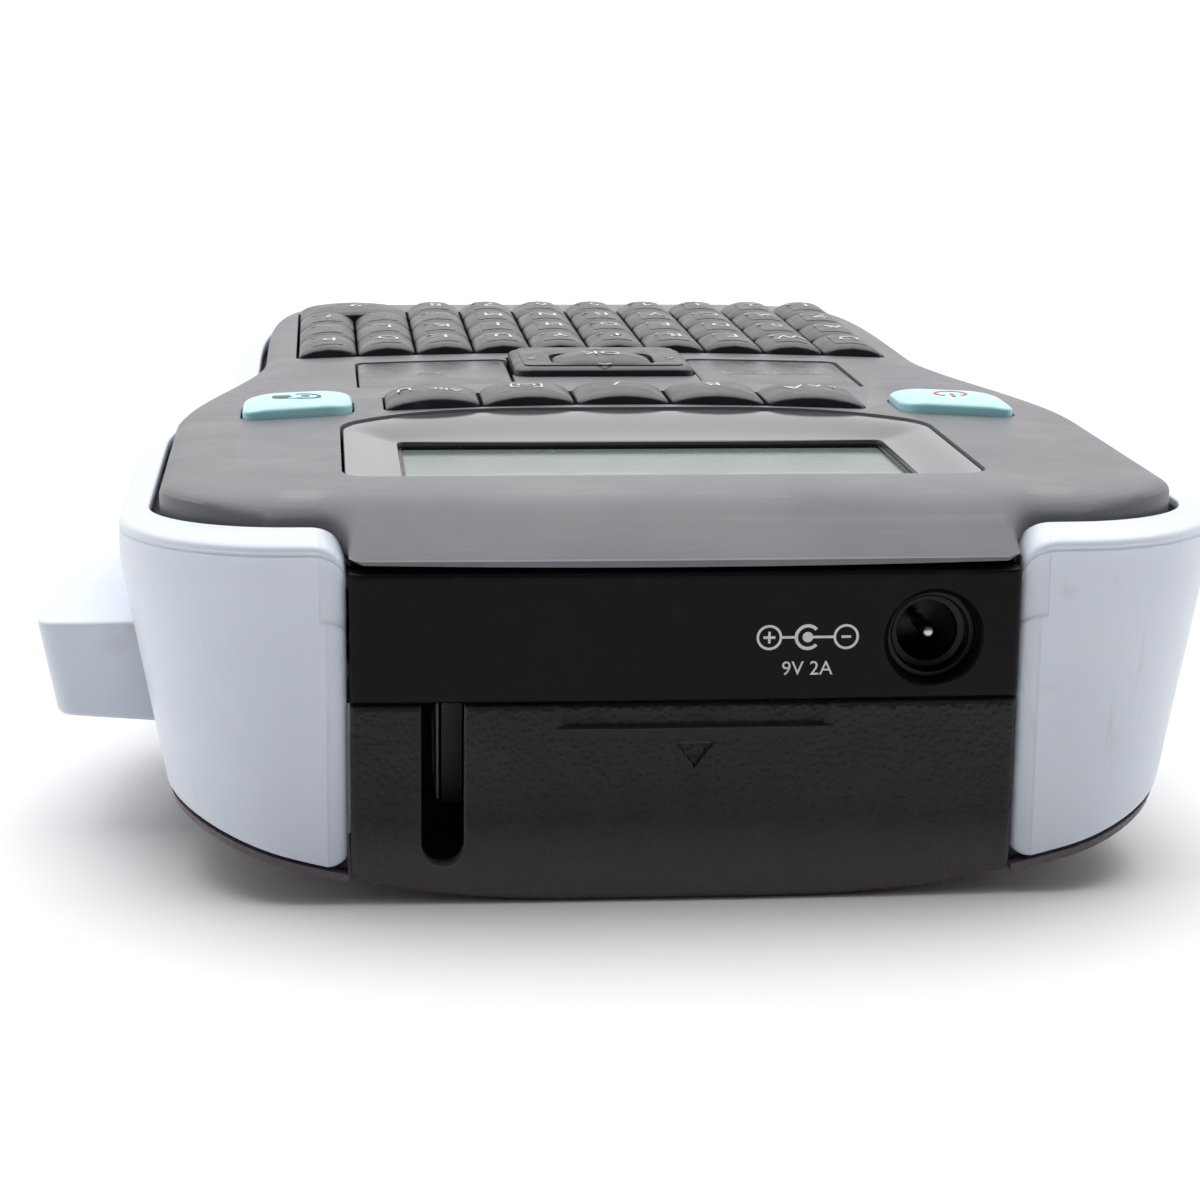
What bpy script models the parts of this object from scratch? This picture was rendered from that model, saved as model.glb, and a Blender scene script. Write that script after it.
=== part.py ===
"""Hand-held label maker, built as separate pieces in metres.

+X is the user's right (the cutter lever's side), +Y points to the tape exit
end, +Z out of the keypad. The body lies on its back, with the origin on the
flat of the back, midway along the body.
"""
import math

import bmesh
import bpy
from mathutils import Matrix, Vector

mm = 0.001

# Body
body_length = 206 * mm          # far end to tape exit end, at the corners
near_end = body_length / 2
far_end = -body_length / 2
face_height = 42.2 * mm         # back to keypad face
shoulder_half = 58.7 * mm       # half width at the shoulders
hip_half = 49.0 * mm            # half width along the letter keys
shoulder_end = near_end - 58 * mm        # y where the shoulders start to narrow
hip_start = near_end - 116 * mm # y where the narrowing ends
corner_radius = 18 * mm         # plan radius at the tape exit end
end_bow = 0.7 * mm              # how far the exit end bulges at its middle
tail_length = 78 * mm           # length of the rounded far end
tail_power = 3.2                # squareness of the rounded far end
side_lean = 0.19                # how much the sides lean in, per unit of depth
lean_start = face_height - 8.2 * mm      # height below which they lean
end_lean = 0.03                 # the same for the exit end
belly_flat = 12 * mm            # half width of the flat on the back
belly_rise = 10.3 * mm           # how far the back has risen at the shoulders
belly_radius = (shoulder_half - belly_flat) ** 2 / (2 * belly_rise)
tail_drop = 4.0 * mm            # how far the face falls at the far end
tail_drop_start = far_end + 48 * mm

# Walls and clearances
gap = 0.3 * mm
shell_wall = 2.0 * mm
case_wall = 1.8 * mm
cover_wall = 1.8 * mm
plate_wall = 2.0 * mm
trim_edge = 0.8 * mm            # back case edge that shows under the side shells

# Rim of the side shells
rim_side = 2.9 * mm
rim_end = 4.7 * mm
rim_height = face_height - 2.9 * mm
rim_lip = 0.4 * mm
strip_half = 34.9 * mm          # half width between the side shells at the exit end

# Face
crease_y = near_end - 8 * mm    # where the face bends down towards the exit end
strip_foot = face_height - 6.5 * mm      # height of the lower edge of the sloped strip
face_foot = face_height - 5.6 * mm       # height of the face's lower edge
case_top = face_foot - 0.4 * mm

# Exit end
seam_height = 21.5 * mm
panel_wall = 2.2 * mm
slot_centre = 25.1 * mm
slot_width = 4.5 * mm
slot_foot = 4.2 * mm
jack_x = -25.7 * mm
jack_height = seam_height + 6.5 * mm
jack_mouth = 4.7 * mm
jack_bore = 4.0 * mm
ledge_low = 18.9 * mm
ledge_left = -14.6 * mm
ledge_right = 12.8 * mm
ledge_depth = 0.8 * mm

# Back covers
cover_half = 34.5 * mm
tape_cover_start = near_end - 93.5 * mm
battery_cover_half = 33.0 * mm
battery_cover_start = far_end + 28 * mm
battery_cover_end = battery_cover_start + 71 * mm
hinge_inset = 1.0 * mm
hinge_height = 0.9 * mm
cover_gap = 0.5 * mm

# Window
window_half = 34.8 * mm
window_near = crease_y - 10.6 * mm
window_far = crease_y - 46.6 * mm
window_bow = 12.2 * mm           # how far its far edge bulges away from the middle
window_sink = 0.25 * mm
glass_half = 28.5 * mm
glass_near = crease_y - 12.1 * mm
glass_far = crease_y - 41.1 * mm
lcd_thickness = 1.4 * mm

# Keys
key_gap = 0.4 * mm
key_rise = 1.2 * mm
key_crown = 0.6 * mm
key_foot = face_height - 3.9 * mm
function_half = 29.4 * mm
function_near = crease_y - 61.4 * mm
function_depth = 11.4 * mm
function_sag = 4.6 * mm
soft_key_inner = 12.4 * mm
soft_key_outer = 32.4 * mm
soft_key_near = crease_y - 81.2 * mm
soft_key_far = crease_y - 103.4 * mm
nav_half = 11.8 * mm
nav_near = crease_y - 86 * mm
nav_far = crease_y - 106 * mm
ok_half = 6.6 * mm
ok_near = nav_near - 2.0 * mm
ok_depth = 9.0 * mm
colour_inner = 33.5 * mm
colour_outer = 46.6 * mm
colour_near_inner = crease_y - 54.0 * mm
colour_near_outer = crease_y - 49.2 * mm
colour_depth = 11.4 * mm
letter_half = 40.3 * mm
letter_near = crease_y - 110 * mm
letter_pitch = 12.2 * mm
letter_sag = 6.0 * mm
letter_sag_step = 1.1 * mm
letter_columns = 10
letter_rows = 4
mat_sheet_low = face_height - 6 * mm
mat_sheet = 1.0 * mm
board_top = mat_sheet_low - 1.0 * mm
board_thickness = 1.6 * mm

# Drive train: spur gears of one module, on upright axes
module = 1.0 * mm
pinion_teeth = 10
idler_teeth = 24
platen_teeth = 18
ribbon_teeth = 16
gear_low = 27.5 * mm
gear_thickness = 3.0 * mm
drive_x = slot_centre + 2.9 * mm
platen_y = near_end - 22 * mm
chassis_low = 25.0 * mm
chassis_thickness = 1.5 * mm
shaft_radius = 1.2 * mm
roller_radius = 2.4 * mm
motor_radius = 7.5 * mm

# Cassette
cassette_low = 5.6 * mm
cassette_high = 22.8 * mm
cassette_far = near_end - 65 * mm
cassette_near = near_end - 7 * mm
label_spool_x = drive_x - 45 * mm
cassette_left = label_spool_x - 21 * mm
cassette_right = drive_x - 8 * mm
label_spool_y = near_end - 36 * mm
label_spool_radius = 17.4 * mm
ribbon_spool_radius = 6.0 * mm
tape_width = 12 * mm

# Cutter
lever_low = 12.0 * mm
lever_high = 24.5 * mm
lever_near = near_end - 28 * mm
lever_tip = shoulder_half + 10.1 * mm
pivot_x = shoulder_half - 13.7 * mm
pivot_y = lever_near - 44 * mm
pivot_radius = 1.5 * mm
blade_x = slot_centre + 4.4 * mm
blade_y = near_end - 5.8 * mm

# Cells
cell_radius = 5.25 * mm
cell_length = 44.5 * mm
cell_pitch = 10.9 * mm
cell_count = 6
cell_height = 8.4 * mm
cell_end = battery_cover_start + 46.6 * mm

# Screws that hold the back case to the face, from the back
screw_head_radius = 2.6 * mm
screw_radius = 1.3 * mm
screw_length = 14 * mm
screw_sink = 1.2 * mm

lever_foot_y = pivot_y - 5 * mm
screw_places = [(18 * mm, far_end + 18.7 * mm), (-18 * mm, far_end + 18.7 * mm)]

# Heights clear of the whole body, for tools that cut right through
floor_low = -20 * mm
through = 60 * mm


def clear_scene():
    for obj in list(bpy.data.objects):
        bpy.data.objects.remove(obj, do_unlink=True)
    for name in ("label_maker", "cutters"):
        group = bpy.data.collections.new(name)
        bpy.context.scene.collection.children.link(group)


def finish_material(name, color, roughness, metallic=0.0):
    material = bpy.data.materials.get(name)
    if material is None:
        material = bpy.data.materials.new(name)
        material.use_nodes = True
        shader = material.node_tree.nodes["Principled BSDF"]
        shader.inputs["Base Color"].default_value = (*color, 1.0)
        shader.inputs["Roughness"].default_value = roughness
        shader.inputs["Metallic"].default_value = metallic
    return material


def black_plastic():
    return finish_material("black_plastic", (0.022, 0.022, 0.025), 0.45)


def face_plastic():
    return finish_material("face_plastic", (0.045, 0.045, 0.05), 0.5)


def white_plastic():
    return finish_material("white_plastic", (0.72, 0.76, 0.82), 0.4)


def key_plastic():
    return finish_material("key_plastic", (0.03, 0.03, 0.035), 0.5)


def turquoise_plastic():
    return finish_material("turquoise_plastic", (0.28, 0.74, 0.8), 0.3)


def steel():
    return finish_material("steel", (0.62, 0.62, 0.64), 0.3, 1.0)


def gear_plastic():
    return finish_material("gear_plastic", (0.78, 0.77, 0.72), 0.45)


# ---- building blocks -------------------------------------------------------


def keep_mesh(name, bm, material=None, cutter=False):
    """The bmesh as an object: a piece when it has a material, or a cutter."""
    bmesh.ops.recalc_face_normals(bm, faces=bm.faces)
    mesh = bpy.data.meshes.new(name)
    bm.to_mesh(mesh)
    bm.free()
    obj = bpy.data.objects.new(name, mesh)
    if material is not None:
        mesh.materials.append(material)
    group = bpy.data.collections["cutters" if cutter else "label_maker"]
    group.objects.link(obj)
    if cutter:
        obj.hide_render = True
        obj.display_type = "WIRE"
    return obj


def loft(name, rings, material=None, cutter=False):
    """A solid through closed rings with the same number of points."""
    bm = bmesh.new()
    rows = [[bm.verts.new(point) for point in ring] for ring in rings]
    count = len(rows[0])
    for lower, upper in zip(rows, rows[1:]):
        for i in range(count):
            j = (i + 1) % count
            bm.faces.new((lower[i], lower[j], upper[j], upper[i]))
    bm.faces.new(rows[0])
    bm.faces.new(rows[-1])
    return keep_mesh(name, bm, material, cutter)


def prism(name, outline, low, high, material=None, cutter=False, lift=None):
    """An outline in XY made solid between two heights, with a raised middle if lift is given."""
    rings = [[(x, y, low) for x, y in outline], [(x, y, high) for x, y in outline]]
    if lift is not None:
        height, share = lift
        middle = sum((Vector(point) for point in outline), Vector((0, 0))) / len(outline)
        inner = [middle.lerp(Vector(point), share) for point in outline]
        rings.append([(x, y, high + height) for x, y in inner])
    return loft(name, rings, material, cutter)


def box(name, low, high, material=None, cutter=False, bevel=0.0):
    bm = bmesh.new()
    bmesh.ops.create_cube(bm, size=1.0)
    low, high = Vector(low), Vector(high)
    size = high - low
    bmesh.ops.transform(bm, matrix=Matrix.Diagonal((*size, 1.0)), verts=bm.verts)
    bmesh.ops.translate(bm, vec=(low + high) / 2, verts=bm.verts)
    obj = keep_mesh(name, bm, material, cutter)
    if bevel:
        soften(obj, bevel)
    return obj


def soften(obj, width, segments=2):
    bevel = obj.modifiers.new("soft_edges", "BEVEL")
    bevel.width = width
    bevel.segments = segments
    bevel.limit_method = "ANGLE"
    bevel.angle_limit = math.radians(40)


def turned(name, profile, centre, material=None, cutter=False, sides=24, along="Z"):
    """A round piece from (radius, height) steps, lowest first, on an axis along Z, X or Y."""
    rings = []
    for radius, height in profile:
        ring = []
        for i in range(sides):
            angle = 2 * math.pi * i / sides
            a, b = radius * math.cos(angle), radius * math.sin(angle)
            ring.append({"Z": (a, b, height), "X": (height, a, b), "Y": (b, height, a)}[along])
        rings.append([Vector(point) + Vector(centre) for point in ring])
    obj = loft(name, rings, material, cutter)
    obj.data.shade_smooth()
    obj.data.set_sharp_from_angle(angle=math.radians(35))
    return obj


def boolean(obj, tool, operation):
    modifier = obj.modifiers.new(operation.lower() + "_" + tool.name, "BOOLEAN")
    modifier.operation = operation
    modifier.object = tool
    modifier.solver = "EXACT"


def cut(obj, tool):
    boolean(obj, tool, "DIFFERENCE")


def join(obj, tool):
    boolean(obj, tool, "UNION")


def place_origin(obj, origin):
    """Moves the object's origin to a point in the world, leaving its shape where it is."""
    origin = Vector(origin)
    obj.data.transform(Matrix.Translation(-origin))
    obj.location = origin


# ---- body outline ----------------------------------------------------------


def half_width(y):
    share = min(max((y - hip_start) / (shoulder_end - hip_start), 0.0), 1.0)
    blend = share * share * (3 - 2 * share)
    return hip_half + (shoulder_half - hip_half) * blend


def exit_y(x):
    """Where the exit end's outer surface lies, at its upper edge."""
    flat = shoulder_half - corner_radius
    return near_end + end_bow * (1 - min(abs(x) / flat, 1.0) ** 2)


def outline(side, near, far):
    """The body's plan, drawn in by the given amounts at its sides and two ends."""
    half = []
    flat = shoulder_half - corner_radius
    for i in range(5):
        x = flat * i / 5
        half.append((x, exit_y(x) - near))
    for i in range(8):
        angle = math.pi / 2 * (1 - i / 7)
        half.append((
            flat + (corner_radius - side) * math.cos(angle),
            near_end - corner_radius + (corner_radius - near) * math.sin(angle),
        ))
    top = near_end - corner_radius
    tail_start = far_end + tail_length
    for i in range(1, 12):
        y = top + (tail_start - top) * i / 12
        half.append((half_width(y) - side, y))
    for i in range(11):
        angle = math.pi / 2 * i / 10
        across = max(math.cos(angle), 0.0) ** (2 / tail_power)
        along = math.sin(angle) ** (2 / tail_power)
        half.append(((hip_half - side) * across, tail_start - (tail_length - far) * along))
    mirrored = [(-x, y) for x, y in reversed(half[1:-1])]
    return half + mirrored


def lean(z):
    """How far the sides and the exit end have come in at this height."""
    depth = max(lean_start - z, 0.0)
    low = max(12 * mm - z, 0.0) / (12 * mm)
    side = side_lean * depth + 6 * mm * low ** 3
    near = end_lean * max(rim_height - z, 0.0)
    return side, near


def body_ring(z, extra):
    side, near = lean(z)
    return [(x, y, z) for x, y in outline(side + extra, near + extra, side + extra)]


body_heights = [z * mm for z in (-1.0, 3.0, 6.0, 9.0, 13.0, 24.0)] + [lean_start, face_height - 6.2 * mm]


def body_loft(name, extra, top, **options):
    heights = [z for z in body_heights if z < top] + [top]
    return loft(name, [body_ring(z, extra) for z in heights], **options)


def belly_z(x):
    return max(abs(x) - belly_flat, 0.0) ** 2 / (2 * belly_radius)


def belly_slab(name, low, high, half, y0, y1, **options):
    """A strip of the back, between two offsets from its curved outer surface."""
    steps = 24
    xs = [half * (2 * i / steps - 1) for i in range(steps + 1)]
    lower = [(x, belly_z(x) + low) for x in xs]
    upper = [(x, belly_z(x) + high) for x in reversed(xs)]
    rings = [[(x, y, z) for x, z in lower + upper] for y in (y0, y1)]
    return loft(name, rings, **options)


def below_belly(name, offset):
    """Everything below the back's surface, raised by the offset, as a cutter."""
    half = 100 * mm
    steps = 40
    xs = [half * (2 * i / steps - 1) for i in range(steps + 1)]
    curve = [(x, belly_z(x) + offset) for x in xs]
    floor = [(half, floor_low), (-half, floor_low)]
    rings = [[(x, y, z) for x, z in curve + floor] for y in (-body_length, body_length)]
    return loft(name, rings, cutter=True)


def exit_wall(name, half, low, high, thickness, extra, **options):
    """A wall that follows the exit end's bow and lean."""
    steps = 10
    xs = [half * (2 * i / steps - 1) for i in range(steps + 1)]
    rings = []
    for z in (low, high):
        near = lean(z)[1] + extra
        outer = [(x, exit_y(x) - near, z) for x in xs]
        inner = [(x, exit_y(x) - near - thickness, z) for x in reversed(xs)]
        rings.append(outer + inner)
    return loft(name, rings, **options)


# ---- casings ---------------------------------------------------------------


def slope_z(y):
    """Height of the sloped strip's plane at y."""
    fall = (face_height - strip_foot) / (near_end + end_bow - crease_y)
    return face_height - fall * (y - crease_y)


def side_prism(name, profile, half, **options):
    """A profile in YZ made solid from -half to half along X."""
    return loft(name, [[(x, y, z) for y, z in profile] for x in (-half, half)], **options)


def build_cutters():
    """Shared cutting shapes, each named for the space it clears."""
    below_belly("below_back", 0.0)
    below_belly("below_shells", trim_edge + gap)
    below_belly("below_trim", trim_edge)
    below_belly("below_floor", plate_wall)
    body_loft("inside_shells", shell_wall + gap, face_height + 8 * mm, cutter=True)
    zone = body_loft("shell_zone", -3 * mm, face_height + 3 * mm, cutter=True)
    cut(zone, bpy.data.objects["inside_shells"])
    cut(zone, bpy.data.objects["below_trim"])
    cavity = body_loft("case_cavity", shell_wall + gap + case_wall, face_height - 2 * mm, cutter=True)
    cut(cavity, bpy.data.objects["below_floor"])
    end = near_end + 6 * mm
    above = [(crease_y, face_height), (end, slope_z(end))]
    above += [(end, 2 * face_height), (crease_y, 2 * face_height)]
    side_prism("above_slope", above, 2 * shoulder_half, cutter=True)
    tail = []
    for i in range(9):
        y = tail_drop_start + (far_end - 5 * mm - tail_drop_start) * i / 8
        share = (tail_drop_start - y) / (tail_drop_start - far_end)
        tail.append((y, -tail_drop * share * share))
    for name, base in (("above_face_tail", face_height), ("above_rim_tail", rim_height)):
        low = [(y, base + drop) for y, drop in tail]
        high = [(tail[-1][0], 2 * face_height), (tail[0][0], 2 * face_height)]
        side_prism(name, low + high, 2 * shoulder_half, cutter=True)
    box("lever_opening", (pivot_x - 5 * mm, lever_foot_y, lever_low - 1.2 * mm),
        (2 * shoulder_half, lever_near + 4.5 * mm, lever_high + 1.2 * mm), cutter=True)


def tool(name):
    return bpy.data.objects[name]


def build_side_shells():
    for hand, name in ((1, "side_shell_right"), (-1, "side_shell_left")):
        rings = [body_ring(z, 0.0) for z in body_heights]
        rings.append([(x, y, rim_height - 1.4 * mm) for x, y in outline(0, 0, 0)])
        rings.append([(x, y, rim_height - 0.5 * mm) for x, y in outline(0.8 * mm, 1.1 * mm, 0.8 * mm)])
        rings.append([(x, y, rim_height) for x, y in outline(rim_side, rim_end, rim_side)])
        shell = loft(name, rings, material=white_plastic())
        lip = [rim_side + rim_lip, rim_end + rim_lip, rim_side + rim_lip]
        inner = [body_ring(z, shell_wall) for z in body_heights]
        inner.append([(x, y, rim_height - 0.9 * mm) for x, y in outline(2.4 * mm, 2.4 * mm, 2.4 * mm)])
        inner.append([(x, y, rim_height) for x, y in outline(*lip)])
        inner.append([(x, y, rim_height + 3 * mm) for x, y in outline(*lip)])
        side = sorted((-hand * 2 * shoulder_half, hand * gap / 2))
        cut(shell, box(name + "_half", (side[0], -body_length, floor_low),
                       (side[1], body_length, 2 * face_height), cutter=True))
        cut(shell, tool("below_shells"))
        cut(shell, tool("above_rim_tail"))
        cut(shell, loft(name + "_hollow", inner, cutter=True))
        cut(shell, box(name + "_mouth", (-strip_half, near_end - 40 * mm, floor_low),
                       (strip_half, body_length, 2 * face_height), cutter=True))
        if hand > 0:
            cut(shell, tool("lever_opening"))


def build_back_case():
    case = body_loft("back_case", 0.1 * mm, case_top, material=black_plastic())
    cut(case, tool("below_back"))
    cut(case, tool("shell_zone"))
    cut(case, tool("case_cavity"))
    wide, far = strip_half, near_end + 20 * mm
    cut(case, box("exit_mouth", (-wide, near_end - 7 * mm, floor_low),
                  (wide, far, 2 * face_height), cutter=True))
    start = tape_cover_start - cover_gap
    cut(case, box("tape_bay_mouth", (-wide, start, floor_low), (wide, far, 12 * mm), cutter=True))
    side = battery_cover_half + cover_gap
    cut(case, box("battery_mouth", (-side, battery_cover_start - cover_gap, floor_low),
                  (side, battery_cover_end + cover_gap, 9 * mm), cutter=True))
    cut(case, tool("lever_opening"))
    for x, y in screw_places:
        bottom = belly_z(x)
        recess = screw_head_radius + gap
        seat = bottom + screw_sink + gap
        shank = screw_radius + gap
        hole = [(recess, floor_low), (recess, seat), (shank, seat + 0.01 * mm), (shank, 20 * mm)]
        cut(case, turned(f"screw_hole_{x:.3f}_{y:.3f}", hole, (x, y, 0), cutter=True, sides=12))


def build_face_cover():
    rings = []
    side = rim_side + rim_lip + gap
    near = rim_end + rim_lip + gap
    for down, more in ((5.6, 0), (2.2, 0), (1.3, 0.5), (0.6, 1.8), (0.2, 3.8), (0, 6.6)):
        plan = outline(side + more * mm, near, side + more * mm)
        rings.append([(x, y, face_height - down * mm) for x, y in plan])
    face = loft("face_cover", rings, material=face_plastic())
    half = strip_half - gap
    xs = [half * (2 * i / 10 - 1) for i in range(11)]
    front = [(x, exit_y(x) - 0.1 * mm) for x in xs]
    back = [(half, crease_y - 7 * mm), (-half, crease_y - 7 * mm)]
    join(face, prism("front_strip", front + back, strip_foot, face_height, cutter=True))
    cut(face, tool("above_slope"))
    cut(face, tool("above_face_tail"))
    inner = [(x, y) for x, y in outline(side + 1.6 * mm, near + 3.4 * mm, side + 1.6 * mm)]
    hollow = prism("face_hollow", inner, 0.0, face_height - 4.6 * mm, cutter=True)
    cut(face, hollow)
    upper = [(x, y) for x, y in outline(side + 2 * mm, near + 8 * mm, side + 22 * mm)]
    cut(face, prism("face_hollow_upper", upper, 0.0, face_height - plate_wall, cutter=True))
    for name, shape in face_openings().items():
        cut(face, prism(name + "_opening", shape, 0.0, 2 * face_height, cutter=True))


def grow(shape, amount):
    """The outline with each side moved outwards by the amount."""
    count = len(shape)
    points = []
    area = sum(shape[i - 1][0] * shape[i][1] - shape[i][0] * shape[i - 1][1] for i in range(count))
    turn = 1 if area > 0 else -1
    for i in range(count):
        before = Vector(shape[i]) - Vector(shape[i - 1])
        after = Vector(shape[(i + 1) % count]) - Vector(shape[i])
        first = Vector((before.y, -before.x)).normalized() * turn
        second = Vector((after.y, -after.x)).normalized() * turn
        middle = (first + second).normalized()
        points.append(tuple(Vector(shape[i]) + middle * amount / max(middle.dot(first), 0.3)))
    return points


def band(left, right, near, far, steps=1):
    """A plan between two edges given as functions of x."""
    xs = [left + (right - left) * i / steps for i in range(steps + 1)]
    return [(x, near(x)) for x in xs] + [(x, far(x)) for x in reversed(xs)]


def function_edge(x):
    return function_near + function_sag * (x / function_half) ** 2


def letter_edge(row):
    sag = letter_sag - letter_sag_step * row
    return lambda x: letter_near - letter_pitch * row + sag * (x / letter_half) ** 2


def soft_near(x):
    return soft_key_near + function_sag * (x / function_half) ** 2


def soft_far(x):
    return soft_key_far + letter_sag * (x / letter_half) ** 2


def colour_near(x):
    share = (abs(x) - colour_inner) / (colour_outer - colour_inner)
    return colour_near_inner + (colour_near_outer - colour_near_inner) * share


def face_openings():
    """Plans of the openings in the face, a clearance larger than what they hold."""
    shapes = {
        "window": grow(window_plan(), gap),
        "function_row": grow(band(-function_half, function_half, function_edge,
                                  lambda x: function_edge(x) - function_depth, 10), gap),
        "nav": grow(nav_plan(), gap),
        "letters": grow(band(-letter_half, letter_half, letter_edge(0),
                             letter_edge(letter_rows), 10), gap),
    }
    for hand, side in ((1, "right"), (-1, "left")):
        shapes["soft_key_" + side] = grow(soft_key_plan(hand), gap)
        shapes["colour_" + side] = grow(colour_plan(hand), gap)
    return shapes


def rounded(corners, radius, steps=3):
    """The corners joined by straight sides with a quarter-like round at each."""
    points = []
    count = len(corners)
    for i in range(count):
        here = Vector(corners[i])
        before = (Vector(corners[i - 1]) - here).normalized()
        after = (Vector(corners[(i + 1) % count]) - here).normalized()
        start = here + before * radius
        end = here + after * radius
        for k in range(steps + 1):
            t = k / steps
            point = start * (1 - t) ** 2 + here * 2 * t * (1 - t) + end * t ** 2
            points.append(tuple(point))
    return points


def window_plan():
    corners = [(-window_half, window_near), (window_half, window_near)]
    near = rounded(corners + [(window_half, window_far), (-window_half, window_far)], 3 * mm)[:8]
    xs = [window_half * (1 - i / 7) for i in range(15)]
    return near + [(x, window_far - window_bow * (1 - (x / window_half) ** 4)) for x in xs]


def soft_key_plan(hand):
    return band(hand * soft_key_inner, hand * soft_key_outer, soft_near, soft_far, 4)


def nav_plan():
    corners = [(-nav_half, nav_near), (nav_half, nav_near), (nav_half, nav_far), (-nav_half, nav_far)]
    return rounded(corners, 1.5 * mm)


def colour_plan(hand):
    near = [(hand * x, colour_near(x)) for x in (colour_inner, colour_outer)]
    far = [(x, y - colour_depth) for x, y in reversed(near)]
    return rounded(near + far, 2.6 * mm)


def build_exit_end():
    half = strip_half - gap
    panel = exit_wall("end_panel", half, seam_height + 0.15 * mm, strip_foot - gap, panel_wall, 0.0,
                      material=black_plastic())
    inside, outside = near_end - 13 * mm, near_end + 3 * mm
    mouth = [(jack_mouth, inside), (jack_mouth, near_end), (jack_mouth + 0.8 * mm, outside)]
    cut(panel, turned("jack_mouth", mouth, (jack_x, 0, jack_height), cutter=True, along="Y"))

    cover = exit_wall("tape_cover", half, 0.0, seam_height - 0.15 * mm, panel_wall, 0.0,
                      material=black_plastic())
    join(cover, belly_slab("tape_cover_back", -1 * mm, cover_wall, cover_half, tape_cover_start,
                           near_end - 2 * mm, cutter=True))
    cut(cover, tool("below_back"))
    low, high = slot_centre - slot_width / 2, slot_centre + slot_width / 2
    notch = [(low, slot_foot + slot_width / 2)]
    for i in range(1, 8):
        angle = math.pi * (1 + i / 8)
        notch.append((slot_centre + slot_width / 2 * math.cos(angle),
                      slot_foot + slot_width / 2 + slot_width / 2 * math.sin(angle)))
    notch += [(high, slot_foot + slot_width / 2), (high, 2 * seam_height), (low, 2 * seam_height)]
    rings = [[(x, y, z) for x, z in notch] for y in (inside, outside)]
    cut(cover, loft("slot_cut", rings, cutter=True))
    cut(cover, box("ledge_cut", (ledge_left, near_end + 0.15 * mm, ledge_low),
                   (ledge_right, near_end + 6 * mm, seam_height + 2 * mm), cutter=True))
    place_origin(cover, (0, tape_cover_start + hinge_inset, hinge_height))


def build_battery_cover():
    cover = belly_slab("battery_cover", -1 * mm, cover_wall, battery_cover_half, battery_cover_start,
                       battery_cover_end, material=black_plastic())
    cut(cover, tool("below_back"))
    place_origin(cover, (0, battery_cover_start + hinge_inset, hinge_height))


def build_window():
    top = face_height - window_sink
    frame = prism("window_frame", window_plan(), top - 1.6 * mm, top,
                  material=finish_material("window_grey", (0.09, 0.09, 0.1), 0.12))
    glass = rounded([(-glass_half, glass_near), (glass_half, glass_near),
                     (glass_half, glass_far), (-glass_half, glass_far)], 1.0 * mm)
    cut(frame, prism("glass_opening", glass, 0.0, 2 * face_height, cutter=True))
    low = top - 1.6 * mm - gap - lcd_thickness
    margin = 2 * mm
    box("lcd_panel", (-glass_half - margin, glass_far - margin, low),
        (glass_half + margin, glass_near + margin, low + lcd_thickness),
        material=finish_material("lcd_grey", (0.33, 0.38, 0.34), 0.2))


# ---- keys ------------------------------------------------------------------


def keycap(name, plan, material, share=0.72):
    """A sprung keycap: straight sides up to its edge, then a low crown."""
    cap = prism(name, plan, key_foot, face_height + key_rise, material, lift=(key_crown, share))
    middle = sum((Vector(point) for point in plan), Vector((0, 0))) / len(plan)
    place_origin(cap, (middle.x, middle.y, face_height))
    return cap


def build_keys():
    pitch = 2 * function_half / 5
    for i in range(5):
        left = function_half - pitch * i - key_gap / 2 if i else function_half
        right = function_half - pitch * (i + 1) + key_gap / 2 if i < 4 else -function_half
        plan = band(right, left, function_edge, lambda x: function_edge(x) - function_depth, 3)
        keycap(f"function_key_{i + 1}", plan, key_plastic())
    for hand, side, colour_name in ((1, "right", "print_button"), (-1, "left", "power_button")):
        keycap(colour_name, colour_plan(hand), turquoise_plastic(), 0.8)
        plan = soft_key_plan(hand)
        flat = prism("soft_key_" + side, plan, key_foot, face_height - 0.1 * mm, key_plastic())
        middle = sum((Vector(point) for point in plan), Vector((0, 0))) / len(plan)
        place_origin(flat, (middle.x, middle.y, face_height))
    nav = keycap("nav_plate", nav_plan(), key_plastic(), 0.9)
    edge = ok_half + gap
    nav_hole = rounded([(-edge, ok_near + gap), (edge, ok_near + gap),
                        (edge, ok_near - ok_depth - gap), (-edge, ok_near - ok_depth - gap)], 2 * mm)
    cut(nav, prism("ok_opening", nav_hole, 0.0, 2 * face_height, cutter=True))
    ok_plan = rounded([(-ok_half, ok_near), (ok_half, ok_near),
                       (ok_half, ok_near - ok_depth), (-ok_half, ok_near - ok_depth)], 2 * mm)
    ok = prism("ok_key", ok_plan, key_foot, face_height + key_rise + key_crown + 0.2 * mm, key_plastic(),
               lift=(0.4 * mm, 0.75))
    place_origin(ok, (0, ok_near - ok_depth / 2, face_height))


def key_spans(row):
    """Where each key of a letter row starts and ends across the pad."""
    pitch = 2 * letter_half / letter_columns
    widths = [1] * letter_columns
    if row == letter_rows - 1:
        widths = [2] + [1] * (letter_columns - 2)
    at = letter_half
    spans = []
    for width in widths:
        spans.append((at, at - width * pitch))
        at -= width * pitch
    return spans


def build_keymat():
    """One silicone moulding: a sheet with every letter key standing on it."""
    bm = bmesh.new()
    for row in range(letter_rows):
        near, far = letter_edge(row), letter_edge(row + 1)
        for left, right in key_spans(row):
            add_letter_key(bm, left, right, near, far)
    keys = keep_mesh("letter_keys", bm, cutter=True)
    y0 = letter_edge(letter_rows)(0) - 0.8 * mm
    sheet = box("keymat", (-letter_half - 0.4 * mm, y0, mat_sheet_low),
                (letter_half + 0.4 * mm, function_near + 6 * mm, mat_sheet_low + mat_sheet),
                material=key_plastic())
    join(sheet, keys)


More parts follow.
